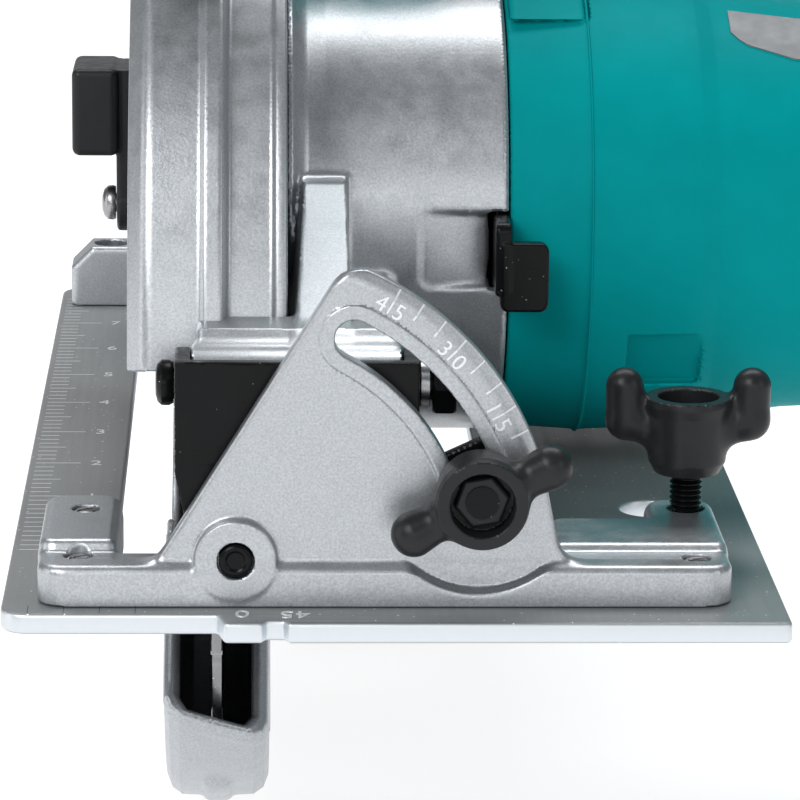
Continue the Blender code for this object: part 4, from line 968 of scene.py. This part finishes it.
def bevel_wing_knob():
    low, high = low_high("bevel_wing_knob")
    hub = turned(Y, CLAMP, [(low[1], 0), (low[1], 7.7), (low[1] + 1.6, 8.1), (high[1] - 0.3, 7.6),
            (high[1], 0)], 0.25)
    wings = []
    angle = radians(27)
    for way in (-1, 1):
        reach = (way * cos(angle), way * sin(angle))
        root = (CLAMP[0] + 6 * reach[0], -13.4, CLAMP[1] + 6 * reach[1])
        tip = (CLAMP[0] + 13.3 * reach[0], -14.2, CLAMP[1] + 13.3 * reach[1])
        wings.append(capsule(root, tip, 3.1, 4.1))
    body = join(hub, *wings, soft=2.6)
    body = cut(body, drum(Y, CLAMP, 5.7, -40, -13.2, 0.3), soft=0.6)
    nut = slab(Y, hexagon(CLAMP, 5.0, 10), -15.6, -11, 0.7)
    body = join(body, nut, soft=0.2)
    body = cut(body, drum(Y, CLAMP, 3.3, -12.8, 10, 0))
    cast("bevel_wing_knob", body, 0.4, 0.4)


# ---------------------------------------------------------------- tilting frame


def front_angle_plate():
    low = low_high("front_angle_plate")[0]
    thick = 2.7
    front = low[1]
    ear_right = 36.3
    web = [*arc(PIVOT, 7.8, 205, 300, 10), *arc(CLAMP, 8.0, 290, 450, 14), (37.0, 28.5),
           (ear_right, 33.0), (ear_right, 47.0), (low[0], 47.0), (low[0], 26.8)]
    holes = [circle(PIVOT, 3.3), circle(CLAMP, 3.3)]
    face = slab(Y, [web, *holes], front, front + thick, 0.5)
    band = rounded([(low[0], front, 3.0), (ear_right, front, 3.0), (ear_right, 16, 0.4),
            (ear_right - thick, 16, 0.4), (ear_right - thick, front + thick, 0.8),
            (low[0] + thick, front + thick, 0.8), (low[0] + thick, 16, 0.4), (low[0], 16, 0.4)])
    lug = [(front, 28.5), (6.0, 33.2), *arc(DEPTH, 6.6, -70, 60, 12), (10.5, 47.0), (front, 47.0)]
    ears = keep(slab(Z, band, 26.8, 47.0, 0.4), slab(X, lug, -30, 60, 0.4), soft=0.3)
    ears = cut(ears, drum(X, DEPTH, 3.3, -30, 60, 0))
    cast("front_angle_plate", join(ears, face, soft=0.3), 0.5, 0.3)


def depth_pivot():
    low, high = low_high("depth_pivot_pin")
    length = high[0] - low[0]
    head = [(0, 0), (0, 2.2), (0.35, 3.4), (1.1, 4.1), (2.4, 4.1), (3.2, 3.7), (3.2, 3.0)]
    profile = [*head, (length - 0.5, 3.0), (length, 2.5), (length, 0)]
    lathe("depth_pivot_pin", (low[0], *DEPTH), (1, 0, 0), profile)
    low, high = low_high("depth_pivot_nut")
    body = slab(X, hexagon(DEPTH, 5.8), low[0], high[0], 0.3)
    body = keep(body, turned(X, DEPTH, [(low[0], 0), (low[0], 5.3), (low[0] + 1, 5.9), (high[0] - 1, 5.9),
                                        (high[0], 5.2), (high[0], 0)], 0.0))
    cast("depth_pivot_nut", cut(body, drum(X, DEPTH, 3.2, 0, 60, 0)), 0.35, 0.4)
    low, high = low_high("depth_pivot_spacer")
    profile = [(0, 3.3), (0, 4.1), (0.2, 4.3), (high[0] - low[0] - 0.2, 4.3), (high[0] - low[0], 4.1),
               (high[0] - low[0], 3.3)]
    lathe("depth_pivot_spacer", (low[0], *DEPTH), (1, 0, 0), profile)


def depth_guide():
    low, high = low_high("depth_guide")
    bolt_angle = degrees(atan2(GUIDE_BOLT[1] - DEPTH[1], GUIDE_BOLT[0] - DEPTH[0]))
    travel = 33
    reach = 165.0
    half = 8.8
    outline = [(high[1] - 4.6, 38.0), (high[1] - 4.6, 20.0),
               *arc(DEPTH, reach - half, bolt_angle - 4.5, bolt_angle + travel + 4, 40),
               *arc(DEPTH, reach + half, bolt_angle + travel + 4, 0, 40)]
    slot = slot_outline(DEPTH, reach, 3.4, bolt_angle - 0.3, bolt_angle + travel + 0.3, 40)
    arm_low = high[0] - 2.4
    arm = slab(X, [outline, slot], arm_low, high[0], 0.35)
    bend = brick((arm_low, high[1] - 5.6, 20.5), (high[0], high[1], 37.5), 0.4)
    foot = brick((low[0], high[1] - 2.6, 20.5), (high[0], high[1], 37.5), 0.4)
    cast("depth_guide", join(arm, join(bend, foot, soft=1.0), soft=0.3), 0.55, 0.3)


def rear_angle_plate():
    low, high = low_high("rear_angle_plate")
    outline = [*arc(PIVOT, 7.8, 190, 330, 16), (15.8, 20.0), (15.8, 38.0), (-8.0, 38.0), (-8.0, 20.0)]
    stand_in("rear_angle_plate", sheet_mesh(Y, [outline, circle(PIVOT, 3.3)], low[1], high[1], 0.4))


# ---------------------------------------------------------------- guards


def upper_guard():
    left, right = GUARD_LOW[0], GUARD_HIGH[0]
    outer = rounded([(left, 0, 0), (left, 101.0, 0.8), (left + 3.2, 104.9, 3.0), (-3.0, 105.0, 0.8),
                     (-2.2, 105.8, 0.8), (1.3, 105.8, 0.9), (2.1, 102.0, 0.9), (10.2, 101.9, 0.8),
                     (10.9, 102.8, 0.7), (right, 102.8, 0.8), (right, 0, 0)])
    inner = [(left + 2.5, 0), (left + 2.5, 98.0), (left + 4, 99.5), (right - 3.5, 99.5),
            (right - 2.0, 98.0), (right - 2.0, 0)]
    body = turned(X, SPINDLE, outer)
    body = cut(body, turned(X, SPINDLE, inner), soft=0.4)
    below = [(-20, -100), (260, -100), (260, 24), (87, 24), (16, 41), (-20, 41)]
    tools = [drum(X, SPINDLE, 62, -40, left + 5, 0), drum(X, SPINDLE, 30, right - 5, 40, 0),
             slab(X, below, -60, 60, 0), drum(X, GUIDE_BOLT, 3.3, 5, 30, 0)]
    body = cut(body, *tools, soft=0.8)
    rim = turned(X, SPINDLE, [(left - 0.05, 62.2), (left - 0.05, 66), (left + 2.5, 66), (left + 2.5, 62.2)],
            0.1)
    body = cut(join(body, rim, soft=0.6), slab(X, below, -60, 60, 0), soft=0.3)
    cast("upper_guard", body, 0.55, 0.25)


def lower_guard():
    half = low_high("lower_guard")[1][0]
    wall = 1.7
    radius = 98.0
    rim = radius - 1.2
    outer = [(-half, 0), (-half, rim - 4.2), (-half + 1.0, rim - 1.6), (-half + 3.0, rim - 0.2),
            (-1.6, rim), (1.6, rim), (half - 3.0, rim - 0.2), (half - 1.0, rim - 1.6), (half, rim - 4.2),
            (half, 0)]
    inner = [(x * (half - wall) / half, max(0, r - wall)) for x, r in outer]
    body = cut(turned(X, SPINDLE, outer), turned(X, SPINDLE, inner))
    rib = turned(X, SPINDLE, [(-2.4, 90), (-2.4, radius - 0.6), (-1.6, radius), (1.6, radius),
            (2.4, radius - 0.6), (2.4, 90)], 0)
    rib = keep(rib, ray_side(SPINDLE, radians(236)), soft=4.0)
    body = cut(join(body, rib, soft=1.6), turned(X, SPINDLE, inner))
    front = radians(222)

    def front_edge(p):
        """The front is open along a plane through the spindle that leans back on the left."""
        along = (p[:, Y] - SPINDLE[0]) * cos(front) + (p[:, Z] - SPINDLE[1]) * sin(front)
        past = (p[:, Z] - SPINDLE[1]) * cos(front) - (p[:, Y] - SPINDLE[0]) * sin(front)
        lean = np.clip(along - 30, 0, 60) * 0.009 * (p[:, X] - 4)
        return np.where(along > 20, lean - past, -5.0)
    thick_inner = [(-half + 3.0, 0), (-half + 3.0, rim - 5.5), (-half + 4.6, rim - 3.2),
            (half - 5.2, rim - 3.2), (half - 3.6, rim - 5.5), (half - 3.6, 0)]
    thick = cut(turned(X, SPINDLE, outer), turned(X, SPINDLE, thick_inner),
            drum(X, SPINDLE, 52, -40, 40, 0))
    thick = keep(thick, lambda p: -front_edge(p) - 4.5, soft=2.0)
    body = join(body, thick, soft=0.8)
    tools = [drum(X, SPINDLE, 48, -40, -half + 3, 0), drum(X, SPINDLE, 22.2, half - 3, 40, 0)]
    body = cut(body, *tools, soft=0.6)
    reach = 150.0
    early = front - radians(14)
    hand = [(SPINDLE[0] + reach * cos(early), SPINDLE[1] + reach * sin(early)),
            (SPINDLE[0] + reach * cos(early), -200), (300, -200), (300, SPINDLE[1] + 32),
            (SPINDLE[0] + 33, SPINDLE[1] + 32), *arc(SPINDLE, 34, 80, 190, 20)]
    body = keep(body, slab(X, hand, -40, 40, 0), soft=0.5)
    body = keep(body, front_edge, soft=3.2)
    ear = [*arc(LEVER, 6.5, 20, 170, 12), (150, 27), (150, 10), (180, 10), (180, 35)]
    body = join(body, slab(X, ear, -half, -half + wall, 0.4), soft=0.5)
    body = cut(body, drum(X, LEVER, 2.3, -40, 0, 0))
    cast("lower_guard", body, 0.5, 0.3)


def guard_lever():
    arm = [*arc(LEVER, 6.0, 160, 380, 20), (166.5, 74.0), (150.0, 74.0)]
    body = slab(X, arm, -22.0, -18.6, 0.8)
    boss = drum(X, LEVER, 5.0, -19.6, -10.5, 0.5)
    paddle = brick((-31.2, 148.0, 56.0), (-21.5, 168.0, 74.5), 1.6)
    body = join(body, boss, soft=0.8)
    body = join(body, paddle, soft=1.0)
    body = cut(body, drum(X, LEVER, 2.3, -60, 0, 0))
    cast("guard_lever", body, 0.5, 0.35)
    low, high = low_high("guard_lever_screw")
    length = high[0] - low[0]
    profile = [(0, 0), (0.05, 1.6), (0.5, 2.9), (1.3, 3.6), (2.4, 3.7), (2.9, 3.5), (2.9, 2.0),
               (length - 0.4, 2.0), (length, 1.6), (length, 0)]
    lathe("guard_lever_screw", (low[0], *LEVER), (1, 0, 0), profile)


def saw_blade():
    radius = 92.5
    teeth = 24
    points = []
    for tooth in range(teeth):
        start = 2 * pi * tooth / teeth
        for share, r in ((0.0, radius), (0.035, radius - 2.2), (0.04, radius - 7.0), (0.08, radius - 8.5),
                (0.14, radius - 9.0), (0.21, radius - 8.4), (0.27, radius - 6.6), (0.31, radius - 4.4),
                (0.45, radius - 3.4), (0.9, radius - 0.9)):
            angle = start + 2 * pi * share / teeth
            points.append((SPINDLE[0] + r * cos(angle), SPINDLE[1] + r * sin(angle)))
    slots = []
    for count in range(4):
        turn = degrees(2 * pi * (count * 6 + 0.14) / teeth)
        slots.append([(SPINDLE[0] + r * cos(a), SPINDLE[1] + r * sin(a)) for a, r in (
            (radians(turn - 0.35), 81), (radians(turn + 0.35), 81), (radians(turn + 3.2), 71),
            (radians(turn + 2.6), 70.5))])
    stand_in("saw_blade", sheet_mesh(X, [points, circle(SPINDLE, 7.9), *slots], -0.9, 0.9, 0.12))
    tips = []
    for tooth in range(teeth):
        angle = 2 * pi * tooth / teeth
        ahead = angle + 2 * pi * 0.05 / teeth
        tip = (0, SPINDLE[0] + (radius - 0.2) * cos(angle), SPINDLE[1] + (radius - 0.2) * sin(angle))
        root = (0, SPINDLE[0] + (radius - 4.0) * cos(ahead), SPINDLE[1] + (radius - 4.0) * sin(ahead))
        tips.append((root, tip, 1.1, 0.55, (0, -sin(angle), cos(angle))))
    place(bars_mesh(tips), "blade_tips", "saw_blade", "bright_steel")


def blade_clamp():
    low, high = low_high("blade_bolt")
    head = slab(X, hexagon(SPINDLE, 8.0), low[0], low[0] + 5.6, 0.3)
    head = keep(head, turned(X, SPINDLE, [(low[0], 0), (low[0], 7.0), (low[0] + 1.2, 8.1),
            (low[0] + 6, 8.1), (low[0] + 6, 0)], 0.0))
    body = join(head, drum(X, SPINDLE, 4.0, low[0] + 3, high[0], 0.3))
    cast("blade_bolt", body, 0.45, 0.35)
    low, high = low_high("outer_flange")
    length = high[0] - low[0]
    profile = [(0, 4.3), (0, 11.6), (0.25, 12.2), (length - 0.7, 19.0), (length - 0.3, 19.5),
            (length, 19.5), (length, 4.3)]
    lathe("outer_flange", (low[0], *SPINDLE), (1, 0, 0), profile, 72)


# ---------------------------------------------------------------- gear housing and shaft lock


def gear_housing():
    left, right = 13.3, GEAR_HIGH[0]
    lug_left, lug_right = GEAR_LOW[0], 33.4
    case = turned(X, MOTOR, [(left, 0), (left, 45.4), (left + 0.5, 46), (right - 0.8, 46), (right, 45.2),
            (right, 0)], 0)
    bulge = drum(X, SPINDLE, 28.5, left, 39, 3.0)
    flare = turned(X, MOTOR, [(left + 0.7, 0), (left + 0.7, 48.6), (left + 1.6, 47.6), (left + 3.7, 45.8),
                              (left + 6, 44.9), (left + 6, 0)], 0.6)
    flare = keep(flare, side(Z, 46, -1))
    barrel = drum(X, DEPTH, 6.6, lug_left, lug_right, 0.5)
    arm = slab(X, [(8, 34.5), (70, 30), (80, 48), (8, 47)], left + 0.6, lug_right - 0.6, 1.2)
    post = slab(X, rounded([(9, 42, 0), (9, 48.5, 3), (62, 67.0, 4), (80, 67.0, 0), (80, 42, 0)]), 12.0,
            24.8, 0.9)
    post = keep(post, slab(Y, [(17.2, 75), (24.8, 75), (24.8, 30), (12.0, 30)], -50, 120, 0.9), soft=0.8)
    ledge = slab(X, [(6.2, 40), (6.2, 42.5), (8.5, 47.5), (12, 50), (20, 50.5), (20, 40)], lug_left + 0.6,
                 lug_right - 0.3, 1.5)
    body = join(case, flare, bulge, soft=1.5)
    body = join(body, join(arm, barrel, soft=2.0), soft=2.5)
    body = join(body, join(ledge, post, soft=1.0), soft=1.6)
    tools = [drum(X, DEPTH, 3.3, -60, 60, 0), drum(X, MOTOR, 43.2, 44, 70, 0.3),
            drum(X, MOTOR, 8.5, 20, 60, 0), drum(X, MOTOR, 13.3, 34.5, 60, 0),
            drum(X, SPINDLE, 26.2, 5, 30, 0), drum(X, MOTOR, 10, 5, 30, 0),
            drum(X, SPINDLE, 10.3, 28, 37, 0), brick((52.6, 30, 45.4), (56.4, 90, 60.6), 0.4)]
    body = cut(body, *tools, soft=0.3)
    pocket = brick((39.6, 30, 46.0), (56.0, 90, 60.0), 2.0)

    def pocket_floor(p):
        """The pocket gets deeper towards the shaft lock."""
        radial = np.hypot(p[:, Y] - MOTOR[0], p[:, Z] - MOTOR[1])
        return 46.1 - 0.16 * np.maximum(p[:, X] - 40.2, 0) - radial
    body = cut(body, keep(pocket, pocket_floor, soft=1.0), soft=1.6)
    cast("gear_housing", body, 0.7, 0.3)


def shaft_lock():
    low, high = low_high("shaft_lock")
    plate = rounded([(57.0, 45.8, 2), (79.0, 45.8, 3), (79.0, 60.2, 3), (57.0, 60.2, 2)])
    body = slab(X, plate, 53.0, 56.0, 0.6)
    flag = rounded([(54.0, 43.0, 1.5), (high[0], 43.0, 1.8), (high[0], 56.4, 1.8), (54.0, 56.4, 0.8)])
    tab = slab(Y, flag, low[1], 60.1, 0.6)
    cast("shaft_lock", join(body, tab, soft=0.8), 0.35, 0.4)


# ---------------------------------------------------------------- motor case


CASE_PROFILE = [(CASE_LOW[0], 0), (CASE_LOW[0], 44.6), (CASE_LOW[0] + 0.5, 45.1), (71.6, 46.1),
        (72.2, 46.35), (72.9, 46.15), (91.5, 45.3), (93.6, 45.05), (97.2, 43.6), (98.6, 43.4),
        (114.0, 41.5), (CASE_HIGH[0], 39.5), (CASE_HIGH[0], 0)]


def motor_housing():
    left, right = CASE_LOW[0], CASE_HIGH[0]
    body = cut(turned(X, MOTOR, CASE_PROFILE), turned(X, MOTOR,
            [(left - 1, 0), (left - 1, 42.0), (92.0, 42.0), (114.0, 38.5), (right + 1, 36.5),
            (right + 1, 0)]))
    panel = keep(turned(X, MOTOR, [(57.0, 40), (57.0, 46.5), (57.7, 46.9), (71.0, 46.9), (71.6, 46.5),
            (71.6, 40)]), side(Z, 94.6, -1))
    gap = keep(turned(X, MOTOR, [(72.0, 45.2), (72.0, 50), (72.8, 50), (72.8, 45.2)]), side(Z, 94.2, -1))
    body = cut(join(body, panel, soft=0.4), gap, soft=0.3)
    droop = radians(38)

    def facing_down(p):
        return (p[:, Y] - (MOTOR[0] - 41.1)) * cos(droop) + (p[:, Z] - 35.6) * sin(droop)
    recess = keep(brick((79.7, 40, 24.0), (94.6, 112, 35.6), 0.5), facing_down)
    parting = radians(157)
    seam = capsule((98.0, MOTOR[0] + 44.0 * cos(parting), MOTOR[1] + 44.0 * sin(parting)),
                   (150.0, MOTOR[0] + 39.8 * cos(parting), MOTOR[1] + 39.8 * sin(parting)), 0.28)
    body = cut(body, recess, seam, soft=0.3)
    ring = turned(X, MOTOR, [(CASE_HIGH[0] - 1.2, 39.3), (CASE_HIGH[0] - 1.2, 45), (CASE_HIGH[0] + 2, 45),
                             (CASE_HIGH[0] + 2, 39.3)])
    body = cut(body, ring, soft=0.3)
    for angle in (62, 74, 86, 98, 110, 250, 262, 274, 286):
        away = radians(angle)
        spot = (MOTOR[0] + 42 * cos(away), MOTOR[1] + 42 * sin(away))
        body = cut(body, capsule((124, *spot), (144, *spot), 1.9), soft=0.4)
    cast("motor_housing", body, 0.62, 0.22)
    ridge = [(0, 45.6), (0.05, 46.4), (0.2, 46.62), (0.4, 46.62), (0.6, 46.3), (0.65, 45.6)]
    place(lathe_mesh((71.85, *MOTOR), (1, 0, 0), ridge, 160), "case_ridge", "motor_housing")


def rear_cover():
    left, right = COVER_LOW[0], COVER_HIGH[0]
    outer = [(left, 0), (left, 39.5), (180, 38.5), (188, 37.2), (195, 34.0), (199.6, 29.6), (right, 24.0),
            (right, 0)]
    inner = [(left - 1, 0), (left - 1, 36.5), (180, 35.0), (192, 29.0), (185, 15.0), (185, 11.5),
            (199.4, 11.5), (199.4, 0)]
    body = keep(turned(X, MOTOR, outer), side(X, left, -1))
    body = cut(body, turned(X, MOTOR, inner))
    for way in (-1, 1):
        start = (middle("brush_cap_front")[0], MOTOR[0] + way * 20, MOTOR[1])
        port = drum(Y, (start[0], MOTOR[1]), 7.3, min(start[1], start[1] + way * 40),
                max(start[1], start[1] + way * 40), 0)
        body = cut(body, port, soft=0.4)
    for ring in (13.5, 18.5, 23.5):
        for angle in range(20, 380, 40):
            first = radians(angle)
            last = radians(angle + 24)
            spots = [(MOTOR[0] + ring * cos(a), MOTOR[1] + ring * sin(a))
                    for a in (first, (first + last) / 2, last)]
            slit = join(capsule((right, *spots[0]), (right, *spots[1]), 1.0),
                        capsule((right, *spots[1]), (right, *spots[2]), 1.0))
            body = cut(body, slit, soft=0.3)
    cast("rear_cover", body, 0.8, 0.3)


def name_plate():
    """Blank metal plate on the upper front of the motor case, with its lower left corner cut off."""
    columns, rows = 26, 10
    stations = [station for station, _ in CASE_PROFILE[1:-1]]
    radii = [radius for _, radius in CASE_PROFILE[1:-1]]
    vertices = []
    for row in range(rows + 1):
        for column in range(columns + 1):
            x = 100.6 + 39.0 * column / columns
            lowest = np.interp(x, [100.6, 103.0, 113.0], [61.5, 57.3, 53.2])
            angle = radians(180 - (lowest + (72 - lowest) * row / rows))
            radius = np.interp(x, stations, radii) + 0.3
            vertices.append((x * MM, (MOTOR[0] + radius * cos(angle)) * MM,
                    (MOTOR[1] + radius * sin(angle)) * MM))
    faces = []
    for row in range(rows):
        for column in range(columns):
            first = row * (columns + 1) + column
            faces.append((first, first + 1, first + columns + 2, first + columns + 1))
    work = bmesh.new()
    corners = [work.verts.new(vertex) for vertex in vertices]
    for face in faces:
        work.faces.new([corners[i] for i in face])
    bmesh.ops.recalc_face_normals(work, faces=work.faces)
    if sum(face.normal.z for face in work.faces) < 0:
        bmesh.ops.reverse_faces(work, faces=work.faces)
    bmesh.ops.solidify(work, geom=work.faces[:], thickness=0.5 * MM)
    mesh = bpy.data.meshes.new("name_plate")
    work.to_mesh(mesh)
    work.free()
    mesh.shade_smooth()
    mesh.set_sharp_from_angle(angle=radians(40))
    place(mesh, "name_plate", "motor_housing", "name_plate")


# ---------------------------------------------------------------- handles

HANDLE_OUTER = [(114, 150, 20), (140, 182.5, 26), (196, 182.5, 50), (250, 152, 50), (290, 108, 26),
        (286, 60, 18), (215, 54, 30)]
HANDLE_INNER = [(144, 115, 10), (142, 150, 12), (190, 153, 30), (235, 126, 30), (256, 98, 10), (248, 82, 8),
                (195, 82, 16), (168, 98, 16)]


def handle():
    low_x = low_high("handle_left")[0][0]
    high_x = low_high("handle_right")[1][0]
    saddle = arc(MOTOR, 46.3, -2, 84, 16)
    outline = rounded([*HANDLE_OUTER, *[(y, z, 0) for y, z in saddle]], 8)
    opening = rounded(HANDLE_INNER, 8)
    body = slab(X, [outline, opening], low_x, high_x, 9.0)
    body = cut(body, drum(X, MOTOR, 46.4, -60, 100, 0), soft=0.3)
    middle_x = (low_x + high_x) / 2
    trigger_low, trigger_high = low_high("trigger")
    pocket = brick((middle_x - 9.9, trigger_low[1] - 1.2, 130),
            (middle_x + 9.9, trigger_high[1] + 1.0, 168), 1.0)
    body = cut(body, pocket, soft=0.6)
    way = np.array((0, 0.95, -0.31)) / hypot(0.95, 0.31)
    start = np.array((middle_x, 280.0, 95.0))
    body = cut(body, capsule(start + way * 4, start + way * 40, 8.5), soft=0.3)
    button = middle("lock_button")[1:]
    body = cut(body, drum(X, button, 5.2, 0, low_x + 5, 0), soft=0.5)
    for node in ("handle_screw_front", "handle_screw_rear"):
        spot = middle(node)[1:]
        body = cut(body, drum(X, spot, 4.2, high_x - 4.5, high_x + 9, 0), soft=0.4)
    for node, half in (("handle_left", side(X, middle_x - 0.1, 1)),
            ("handle_right", side(X, middle_x + 0.1, -1))):
        cast(node, keep(body, half, soft=0.5), 1.0, 0.4)


def trigger():
    low, high = low_high("trigger")
    y, z = 168.0, 147.0
    outline = rounded([(y - 19, z + 5, 1), (y - 19, z - 8, 4), (y - 6, z - 11.5, 10), (y + 18, z - 6, 3),
                       (y + 20.5, z + 5, 1)])
    cast("trigger", slab(X, outline, low[0], high[0], 3.0), 0.7, 0.35)


def small_controls():
    low, high = low_high("lock_button")
    length = high[0] - low[0]
    profile = [(0, 0), (0, 3.2), (0.5, 4.4), (1.4, 4.8), (length, 4.8), (length, 0)]
    lathe("lock_button", (low[0], *middle("lock_button")[1:]), (1, 0, 0), profile)
    for end, way in (("front", -1), ("rear", 1)):
        node = "brush_cap_" + end
        low, high = low_high(node)
        start = (middle(node)[0], high[1] if way < 0 else low[1], MOTOR[1])
        length = high[1] - low[1]
        profile = [(0, 0), (0, 6.9), (length - 0.5, 6.9), (length, 6.4), (length, 4.6), (length - 1.2, 4.2),
                   (length - 1.2, 0)]
        lathe(node, start, (0, way, 0), profile)


def front_grip():
    lean = radians(36)
    up = Vector((0, -sin(lean), cos(lean)))
    foot = Vector((middle("front_grip")[0], *SPINDLE)) + up * 105.3
    outer = [(0, 2.6), (0, 8.9), (0.4, 9.4), (3, 9.6), (6, 9.5), (9, 9.1), (12, 9.0), (15, 9.3), (19, 10.3),
             (24, 12.1), (29, 14.1), (33, 15.5), (38, 16.3), (43, 16.4), (47, 15.4), (50, 13.7), (52, 11.2),
             (53, 8.3), (53, 4.2), (44, 4.2), (44, 2.6)]
    lathe("front_grip", foot, up, outer, 72)


def depth_lever():
    low, high = low_high("depth_lever")
    reach = radians(24)
    tip = (GUIDE_BOLT[0] + 40 * cos(reach), GUIDE_BOLT[1] + 40 * sin(reach))
    hub = drum(X, GUIDE_BOLT, 8.0, low[0], high[0], 1.2)
    x = (low[0] + high[0]) / 2
    arm = capsule((x, *GUIDE_BOLT), (x, *tip), 4.4, 4.6)
    arm = keep(arm, brick((low[0], -500, -500), (high[0], 500, 500), 0), soft=1.2)
    body = cut(join(hub, arm, soft=3.0), drum(X, GUIDE_BOLT, 3.3, -60, 60, 0))
    cast("depth_lever", body, 0.6, 0.35)


# ---------------------------------------------------------------- stage


LIGHT_AIM = (0.03, 0.05, 0.04)
LIGHTS = {
    "front": ((0.1, -2.0, 0.55), (2.2, 0.7), 1.6),
    "key": ((-0.8, -1.15, 1.15), (0.9, 0.8), 8),
    "top": ((0.05, 0.60, 1.3), (1.6, 0.5), 5.5),
    "left": ((-1.5, -0.1, 0.4), (0.8, 1.0), 1.5),
    "right": ((1.4, -0.9, 0.6), (0.7, 1.0), 1.5),
    "back": ((-0.3, 2.0, 0.6), (1.6, 0.6), 0.45),
}
FLOOR_SIZE = 14
FLOOR_GAP = 0.0004
FLOOR_GLOW = 0.8
WORLD_LIGHT = 0.22
CAMERA_PLACE = (0.00526, -0.72037, 0.21706)
CAMERA_LENS = 187.97
CAMERA_YAW, CAMERA_PITCH, CAMERA_ROLL = radians(2.1919), radians(13.8151), radians(0.6374)


def softbox(name, place_at, size, brightness):
    """Area light, aimed at the saw, whose face has the given radiance."""
    data = bpy.data.lights.new(name, "AREA")
    data.shape = "RECTANGLE"
    data.size, data.size_y = size
    data.energy = brightness * pi * size[0] * size[1]
    lamp = bpy.data.objects.new(name, data)
    lamp.location = place_at
    way = Vector(LIGHT_AIM) - Vector(place_at)
    lamp.rotation_euler = way.to_track_quat("-Z", "Y").to_euler()
    bpy.context.scene.collection.objects.link(lamp)


def stage():
    bpy.ops.mesh.primitive_plane_add(size=FLOOR_SIZE, location=(0, 0, CAD_BOX[0][2] - FLOOR_GAP))
    floor = bpy.context.object
    floor.name = "floor"
    finish = Finish("floor_paint", (0.4, 0.4, 0.41), 0.8)
    finish.shader.inputs["Emission Color"].default_value = (1, 1, 1, 1)
    finish.shader.inputs["Emission Strength"].default_value = FLOOR_GLOW
    floor.data.materials.append(finish.material)
    world = bpy.data.worlds.new("studio")
    world.use_nodes = True
    background = world.node_tree.nodes["Background"]
    background.inputs["Color"].default_value = (0.95, 0.97, 1.0, 1)
    background.inputs["Strength"].default_value = WORLD_LIGHT
    bpy.context.scene.world = world
    for name, (place_at, size, brightness) in LIGHTS.items():
        softbox(name, place_at, size, brightness)


def camera():
    data = bpy.data.cameras.new("camera")
    data.sensor_width = 36
    data.lens = CAMERA_LENS
    data.clip_end = 30
    lens = bpy.data.objects.new("camera", data)
    flat = cos(CAMERA_PITCH)
    ahead = Vector((sin(CAMERA_YAW) * flat, cos(CAMERA_YAW) * flat, -sin(CAMERA_PITCH)))
    level = Vector((cos(CAMERA_YAW), -sin(CAMERA_YAW), 0))
    upright = level.cross(ahead)
    right = level * cos(CAMERA_ROLL) + upright * sin(CAMERA_ROLL)
    up = upright * cos(CAMERA_ROLL) - level * sin(CAMERA_ROLL)
    place_at = Matrix((right, up, -ahead)).transposed().to_4x4()
    place_at.translation = Vector(CAMERA_PLACE)
    lens.matrix_world = place_at
    bpy.context.scene.collection.objects.link(lens)
    bpy.context.scene.camera = lens


def dress_frame():
    """Every CAD node gets its slot's procedural material, whether it is shown or not."""
    for node, piece in frame["nodes"].items():
        piece.data.materials.clear()
        piece.data.materials.append(MATERIALS[NODE_SLOT[node]])


PIECES = [base_plate, front_bracket, bracket_screws, rear_bracket, bevel_pins, fence_wing_bolt,
          bevel_wing_knob, front_angle_plate, depth_pivot, depth_guide, rear_angle_plate,
          upper_guard, lower_guard, guard_lever, saw_blade, blade_clamp, gear_housing, shaft_lock,
          motor_housing, rear_cover, name_plate, handle, trigger, small_controls, front_grip,
          depth_lever]

make_materials()
dress_frame()
for build in PIECES:
    build()
stage()
camera()
bpy.context.scene.view_settings.view_transform = "Standard"
